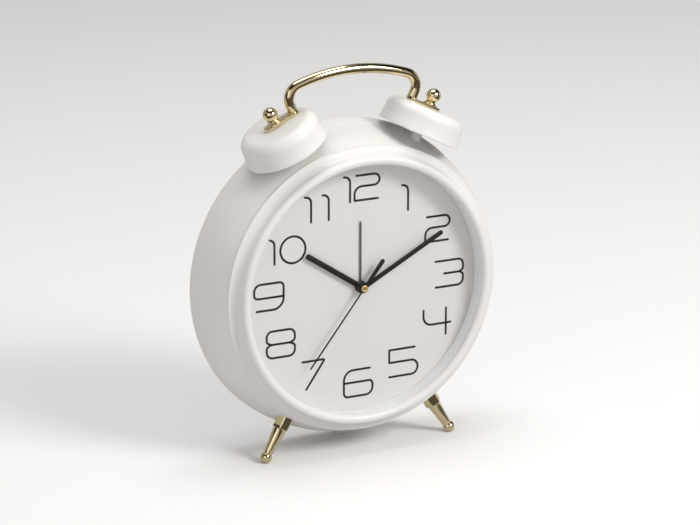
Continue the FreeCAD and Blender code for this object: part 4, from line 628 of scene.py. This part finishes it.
def hand(name, behind, hub_tall, length, wide, sheet, hub, bore, degrees, material):
    """A hand's hub, a gap in front of the depth behind, and its blade in the middle of the hub.

    It gives the depths of the hub's front and middle.
    """
    back = behind - HUB_GAP
    front = back - hub_tall
    middle = (front + back) / 2
    place = clockwise(degrees)
    hub_outline = filleted([(front, bore, 0.08), (front, hub, 0.3), (back, hub, 0.2), (back, bore, 0.05)],
                           steps=5)
    blade = pressed(stadium(0.0, length, wide), middle - sheet / 2, middle + sheet / 2, min(0.12, sheet / 3),
                    place)
    skin(f"{name}_pointer_hub", [turned(hub_outline, place, 64)], material, name)
    skin(f"{name}_pointer_blade", [blade], material, name, [f"{name}_hand"], loop=False,
         caps=True)
    return front, middle


alarm_front, alarm_mid = hand("alarm", DIAL_FRONT, LOW_HUB_TALL, 48.7, 1.4, 0.3, 4.5, 2.55, 0.0, dark_metal)
rib_front = alarm_mid - 0.32
rib = pressed(stadium(4.2, 48.4, 0.7), rib_front, rib_front + 0.2, 0.1, clockwise(0.0))
skin("alarm_rib", [rib], pale_rib_metal, "alarm", loop=False, caps=True)
hour_front, _ = hand("hour", alarm_front, HUB_TALL, 53.2, 4.1, 0.5, 4.3, 1.8, 303.6, black_lacquer)
minute_front, _ = hand("minute", hour_front, HUB_TALL, 73.2, 3.6, 0.5, 3.9, 1.1, 62.0, black_lacquer)
SECOND_REST, NEEDLE_LONG, NEEDLE_WIDE, NEEDLE_THICK = 218.2, 70.1, 1.25, 0.3
BOSS, BOSS_DISH, BOSS_PIN = 2.5, 1.15, 0.6
boss_back = minute_front - HUB_GAP
boss_front = boss_back - HUB_TALL
second_place = clockwise(SECOND_REST)
needle_front = boss_back - LOW_HUB_TALL / 2 - NEEDLE_THICK / 2
needle_back = needle_front + NEEDLE_THICK
needle = pressed(stadium(-1.0, NEEDLE_LONG, NEEDLE_WIDE), needle_front, needle_back, 0.08, second_place)
tail_outline = np.concatenate([arc(-0.6, 0, 1.3, -90, 90, 12), arc(-23.65, 0, 1.85, 90, 270, 16)])
tail = pressed(tail_outline, needle_front, needle_back, 0.1, second_place)
skin("second_pointer", [needle, tail], black_lacquer, "second", ["second_hand"],
     loop=False, caps=True)
dish_floor = boss_front + 0.9
boss_outline = filleted([(boss_front, BOSS_DISH, 0.2), (boss_front, BOSS, 0.45),
                         (boss_back - 0.2, BOSS, 0.2), (boss_back, 1.3, 0.1), (boss_back, BOSS_PIN, 0.05),
                         (dish_floor, BOSS_PIN, 0.05), (dish_floor, BOSS_DISH, 0.1)], steps=6)
skin("second_boss", [turned(boss_outline, second_place, 64)], brass, "second",
     ["second_hand_boss"])

# Movement: a black moulded case in two halves behind the dial, with the wheels, coil and circuit
# inside. Its own pieces stay as they were drawn, each with the finish of what it is made of.
case_black = surfaced("case_black", (0.030, 0.031, 0.033), gloss=0.48, spread=0.1, relief=0.2, tint=0.1,
                      grain=1500.0)
natural = surfaced("natural_moulding", (0.74, 0.72, 0.66), gloss=0.45, spread=0.08, relief=0.06)
zinc = surfaced("zinc_plate", (0.58, 0.58, 0.60), gloss=0.3, spread=0.12, relief=0.05, tint=0.08, metal=1.0)
arbor_steel = surfaced("arbor_steel", (0.52, 0.52, 0.53), gloss=0.22, spread=0.08, relief=0.03, metal=1.0)
magnet = surfaced("magnet_grey", (0.10, 0.10, 0.11), gloss=0.4, spread=0.1, relief=0.1)
board_green = surfaced("board_green", (0.020, 0.110, 0.050), gloss=0.35, spread=0.1, relief=0.1, tint=0.1,
                       patch=200.0)
copper = surfaced("coil_copper", (0.62, 0.27, 0.12), gloss=0.35, spread=0.1, relief=0.3, tint=0.1, metal=1.0)
NODE_FINISHES = {
    "movement_front_shell": case_black, "movement_back_shell": case_black, "buzzer": case_black,
    "alarm_switch": natural, "movement_mid_plate": natural, "third_wheel": natural, "centre_wheel": natural,
    "motion_wheel": natural, "hour_wheel": natural, "alarm_wheel": natural, "alarm_setting_wheel": natural,
    "fifth_wheel": natural, "coil_bobbin": natural, "second_wheel": arbor_steel, "rotor": magnet,
    "stator": zinc, "coil_winding": copper, "circuit_board": board_green, "quartz_crystal": arbor_steel,
    "battery_plate": zinc, "battery_spring": zinc, "carrier_screws": zinc, "cover_screws": zinc,
    "movement_screws": zinc, "post_nuts": zinc, "leg_nuts": zinc, "dial_carrier": cover_moulding,
}
for node, finish in NODE_FINISHES.items():
    finished(node, finish)

# Setting knobs: black mouldings with a fluted grip and a dished end, pressed on the two arbors
# that come out of the movement's back.
KNOB, KNOB_FRONT, KNOB_BACK = 6.8, 39.25, 44.25
FLUTES, FLUTE_DEEP, FLUTE_OVER = 24, 0.06, 0.028
GRIP_FROM, GRIP_FADE = 5.0, 1.5
KNOB_STEPS = 240
knob_outline = filleted([(KNOB_FRONT, 1.2, 0.1), (KNOB_FRONT, KNOB, 0.3), (KNOB_BACK, KNOB, 0.7),
                         (KNOB_BACK - 0.1, 4.6, 0.4), (KNOB_BACK - 0.7, 4.2, 0.4),
                         (KNOB_BACK - 0.8, 0.02, 0.01)], steps=6, closed=False)


def fluted(a):
    """Radius factor of a grip: round flutes, as one minus a small power of a raised cosine."""
    return 1 + FLUTE_OVER - FLUTE_DEEP * (0.5 + 0.5 * np.cos(FLUTES * a)) ** 3


knob_grip = np.clip((knob_outline[:, 1:] - GRIP_FROM) / GRIP_FADE, 0, 1)
knob_shape = 1 + knob_grip * (fluted(full_turn(KNOB_STEPS)) - 1)
for name, body, node, right, up in (("time_turner", "motion", "time_knob", 8.660, 5.0),
                                    ("alarm_turner", "setting", "alarm_knob", -5.472, 15.035)):
    place = DRUM_PLACE.copy()
    place[3] = (right, 0, up)
    skin(name, [turned(knob_outline, place, KNOB_STEPS, knob_shape)], case_black, body,
         [node], loop=False, caps=True)

# Battery: a standard cell in the open bay, with a printed jacket, a rolled edge at each end and
# a bright button.
TIN, JACKET_BLACK, JACKET_COPPER = (0.60, 0.60, 0.62, 1), (0.025, 0.03, 0.04, 1), (0.55, 0.36, 0.14, 1)


def ranged(tree, source, low, high, start=0.0, end=1.0, kind="LINEAR"):
    """A value carried from the range low to high over to the range start to end."""
    node = add(tree, "ShaderNodeMapRange", [("Value", source)], interpolation_type=kind)
    for title, value in (("From Min", low), ("From Max", high), ("To Min", start), ("To Max", end)):
        node.inputs[title].default_value = value
    return node.outputs["Result"]


def banded(tree, source, kind, bands):
    """A colour ramp over a value, from (position, colour) at each of its stops."""
    node = add(tree, "ShaderNodeValToRGB", [("Fac", source)])
    node.color_ramp.interpolation = kind
    stops = node.color_ramp.elements
    for stop, (position, colour) in zip(stops, (bands[0], bands[-1])):
        stop.position = position
        stop.color = colour
    for position, colour in bands[1:-1]:
        stops.new(position).color = colour
    return node.outputs["Color"]


jacket, jacket_tree, jacket_shader = new_material("cell_jacket")
cell_spot = add(jacket_tree, "ShaderNodeTexCoord")
cell_split = add(jacket_tree, "ShaderNodeSeparateXYZ", [("Vector", cell_spot.outputs["Object"])])
cell_print = banded(jacket_tree, ranged(jacket_tree, cell_split.outputs["X"], -0.0237, 0.0259), "CONSTANT",
                    [(0.0, TIN), (0.03, JACKET_BLACK), (0.66, JACKET_COPPER), (0.945, TIN)])
cell_fine = add(jacket_tree, "ShaderNodeGroup", node_tree=grain_group)
jacket_tree.links.new(cell_print, jacket_shader.inputs["Base Color"])
jacket_tree.links.new(cell_fine.outputs["Roughness"], jacket_shader.inputs["Roughness"])
jacket_tree.links.new(cell_fine.outputs["Normal"], jacket_shader.inputs["Normal"])
jacket_shader.inputs["Metallic"].default_value = 0.7
CELL_LOW, CELL_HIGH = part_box("battery")
cell_mid = ((np.array(CELL_LOW) + np.array(CELL_HIGH)) / 2 - CENTRE) * MM
cell_start = (CELL_LOW.x - CENTRE[0]) * MM
cell_end = (CELL_HIGH.x - CENTRE[0]) * MM
cell_r = (CELL_HIGH.z - CELL_LOW.z) * MM / 2
cell_place = np.array([(0, 1.0, 0), (0, 0, 1.0), (1.0, 0, 0), (0, cell_mid[1], cell_mid[2])])
cell_outline = filleted([(cell_start + 0.15, 0.02, 0.01), (cell_start + 0.15, 5.2, 0.2),
                         (cell_start, 5.8, 0.3), (cell_start, cell_r, 0.5), (cell_end - 1.0, cell_r, 0.6),
                         (cell_end - 1.0, 6.0, 0.3), (cell_end - 1.3, 5.2, 0.3), (cell_end - 1.1, 2.8, 0.2),
                         (cell_end, 2.7, 0.3), (cell_end, 0.02, 0.01)], steps=6, closed=False)
skin("cell", [turned(cell_outline, cell_place, 96)], jacket, "clock", ["battery"], loop=False,
     caps=True)

# Floor: a plain pale sheet that rises behind the clock in one sweep. Only glossy rays see a painted
# dark strip on it in front of the clock, a painted reflection, which draws the lines along the gold.
FLOOR_SEEN, FLOOR_LIT, FLOOR_PAINTED_REFLECTION = (0.94, 0.935, 0.93, 1), (0.64, 0.63, 0.63, 1), (0.07, 0.06, 0.045, 1)
FLOOR_NEAR, FLOOR_HALF, SWEEP_START, SWEEP_R, SWEEP_TOP = -4.0, 6.0, 1.6, 1.2, 5.0
MIX_FIRST, MIX_SECOND, MIX_COLOUR = 6, 7, 2
floor_material, floor_tree, floor_shader = new_material("pale_floor")
floor_shader.inputs["Roughness"].default_value = 0.9
floor_shader.inputs["Specular IOR Level"].default_value = 0.1
floor_rays = add(floor_tree, "ShaderNodeLightPath")
floor_spot = add(floor_tree, "ShaderNodeTexCoord")
floor_split = add(floor_tree, "ShaderNodeSeparateXYZ", [("Vector", floor_spot.outputs["Object"])])
# The mask of the painted dark strip in front of the clock, a painted reflection that only glossy rays see.
near_end = ranged(floor_tree, floor_split.outputs["Y"], -0.08, -0.03, 1.0, 0.0, "SMOOTHSTEP")
far_end = ranged(floor_tree, floor_split.outputs["Y"], -2.6, -1.6, 0.0, 1.0, "SMOOTHSTEP")
strip = add(floor_tree, "ShaderNodeMath", [(0, near_end), (1, far_end)], operation="MULTIPLY")
mirrored = add(floor_tree, "ShaderNodeMath", [(0, strip.outputs[0]),
               (1, floor_rays.outputs["Is Glossy Ray"])], operation="MULTIPLY")
pale = add(floor_tree, "ShaderNodeMix", [(0, floor_rays.outputs["Is Camera Ray"])], data_type="RGBA")
pale.inputs[MIX_FIRST].default_value = FLOOR_LIT
pale.inputs[MIX_SECOND].default_value = FLOOR_SEEN
floor_colour = add(floor_tree, "ShaderNodeMix", [(0, mirrored.outputs[0]),
                   (MIX_FIRST, pale.outputs[MIX_COLOUR])], data_type="RGBA")
floor_colour.inputs[MIX_SECOND].default_value = FLOOR_PAINTED_REFLECTION
floor_tree.links.new(floor_colour.outputs[MIX_COLOUR], floor_shader.inputs["Base Color"])
sweep = np.radians(np.linspace(0, 90, 24))
floor_profile = np.concatenate([
    [(FLOOR_NEAR, 0.0)],
    np.stack([SWEEP_START + SWEEP_R * np.sin(sweep), SWEEP_R - SWEEP_R * np.cos(sweep)], 1),
    [(SWEEP_START + SWEEP_R, SWEEP_TOP)],
])
floor_points = [(x, y, z) for y, z in floor_profile for x in (-FLOOR_HALF, FLOOR_HALF)]
floor_faces = [(2 * i, 2 * i + 1, 2 * i + 3, 2 * i + 2) for i in range(len(floor_profile) - 1)]
floor_mesh = bpy.data.meshes.new("floor")
floor_mesh.from_pydata(floor_points, [], floor_faces)
floor_mesh.shade_smooth()
floor_mesh.materials.append(floor_material)
floor = bpy.data.objects.new("floor", floor_mesh)
bpy.context.scene.collection.objects.link(floor)

# Lamps: a soft one high at the right of the camera, a weak wide one at the left, and one above.
# Each is (name, place, width, height, watts, colour), in metres, and faces the clock's middle.
LAMP_AIM = np.array([0, 0, 0.14])
LAMPS = (
    ("key", (1.05, -1.75, 1.55), 0.9, 0.9, 33.0, (1.0, 0.985, 0.965)),
    ("fill", (-1.9, -1.4, 0.9), 1.6, 1.2, 4.5, (0.97, 0.985, 1.0)),
    ("top", (0.0, 0.2, 2.0), 1.4, 1.0, 12.0, (1.0, 1.0, 1.0)),
)
for name, spot, wide, high, power, warmth in LAMPS:
    lamp = bpy.data.lights.new(name, "AREA")
    lamp.shape = "RECTANGLE"
    lamp.size = wide
    lamp.size_y = high
    lamp.energy = power
    lamp.color = warmth
    holder = bpy.data.objects.new(name, lamp)
    holder.location = spot
    aim = LAMP_AIM - np.array(spot)
    yaw = math.atan2(aim[1], aim[0]) - math.pi / 2
    pitch = math.atan2(aim[2], math.hypot(aim[0], aim[1]))
    holder.rotation_euler = (math.pi / 2 + pitch, 0, yaw)
    bpy.context.scene.collection.objects.link(holder)

# Sky: an even pale light. Only glossy rays see painted dark bands in it, over the height and from left
# to right, painted reflections like the walls and gaps of a room, and they draw the other lines along the
# gold.
SKY_PALE, SKY_WARM, SKY_PAINTED_DARK = (1.0, 1.0, 1.0, 1), (1.0, 0.98, 0.94, 1), (0.04, 0.035, 0.03, 1)
world = bpy.data.worlds.new("sky")
bpy.context.scene.world = world
world.use_nodes = True
sky_tree = world.node_tree
sky = sky_tree.nodes["Background"]
sky.inputs["Strength"].default_value = 0.5
sky_spot = add(sky_tree, "ShaderNodeTexCoord")
sky_split = add(sky_tree, "ShaderNodeSeparateXYZ", [("Vector", sky_spot.outputs["Generated"])])
# Painted dark bands that only glossy rays see: painted reflections, over the height and from side to side.
sky_levels = banded(sky_tree, sky_split.outputs["Z"], "EASE",
                    [(0.0, SKY_WARM), (0.55, SKY_WARM), (0.63, SKY_PAINTED_DARK), (0.86, SKY_PAINTED_DARK), (0.94, SKY_PALE),
                     (1.0, SKY_PALE)])
sky_painted_side_bands = banded(sky_tree, ranged(sky_tree, sky_split.outputs["X"], -1.0, 1.0), "EASE",
                   [(0.0, SKY_PAINTED_DARK), (0.03, SKY_PAINTED_DARK), (0.08, SKY_PALE), (0.78, SKY_PALE), (0.84, SKY_PAINTED_DARK),
                    (0.93, SKY_PAINTED_DARK), (0.97, SKY_PALE), (1.0, SKY_PALE)])
sky_lines = add(sky_tree, "ShaderNodeVectorMath", [(0, sky_levels), (1, sky_painted_side_bands)], operation="MULTIPLY")
sky_rays = add(sky_tree, "ShaderNodeLightPath")
sky_colour = add(sky_tree, "ShaderNodeMix", [(0, sky_rays.outputs["Is Glossy Ray"]),
                 (MIX_SECOND, sky_lines.outputs[0])], data_type="RGBA")
sky_colour.inputs[MIX_FIRST].default_value = (1.0, 0.99, 0.98, 1)
sky_tree.links.new(sky_colour.outputs[MIX_COLOUR], sky.inputs["Color"])
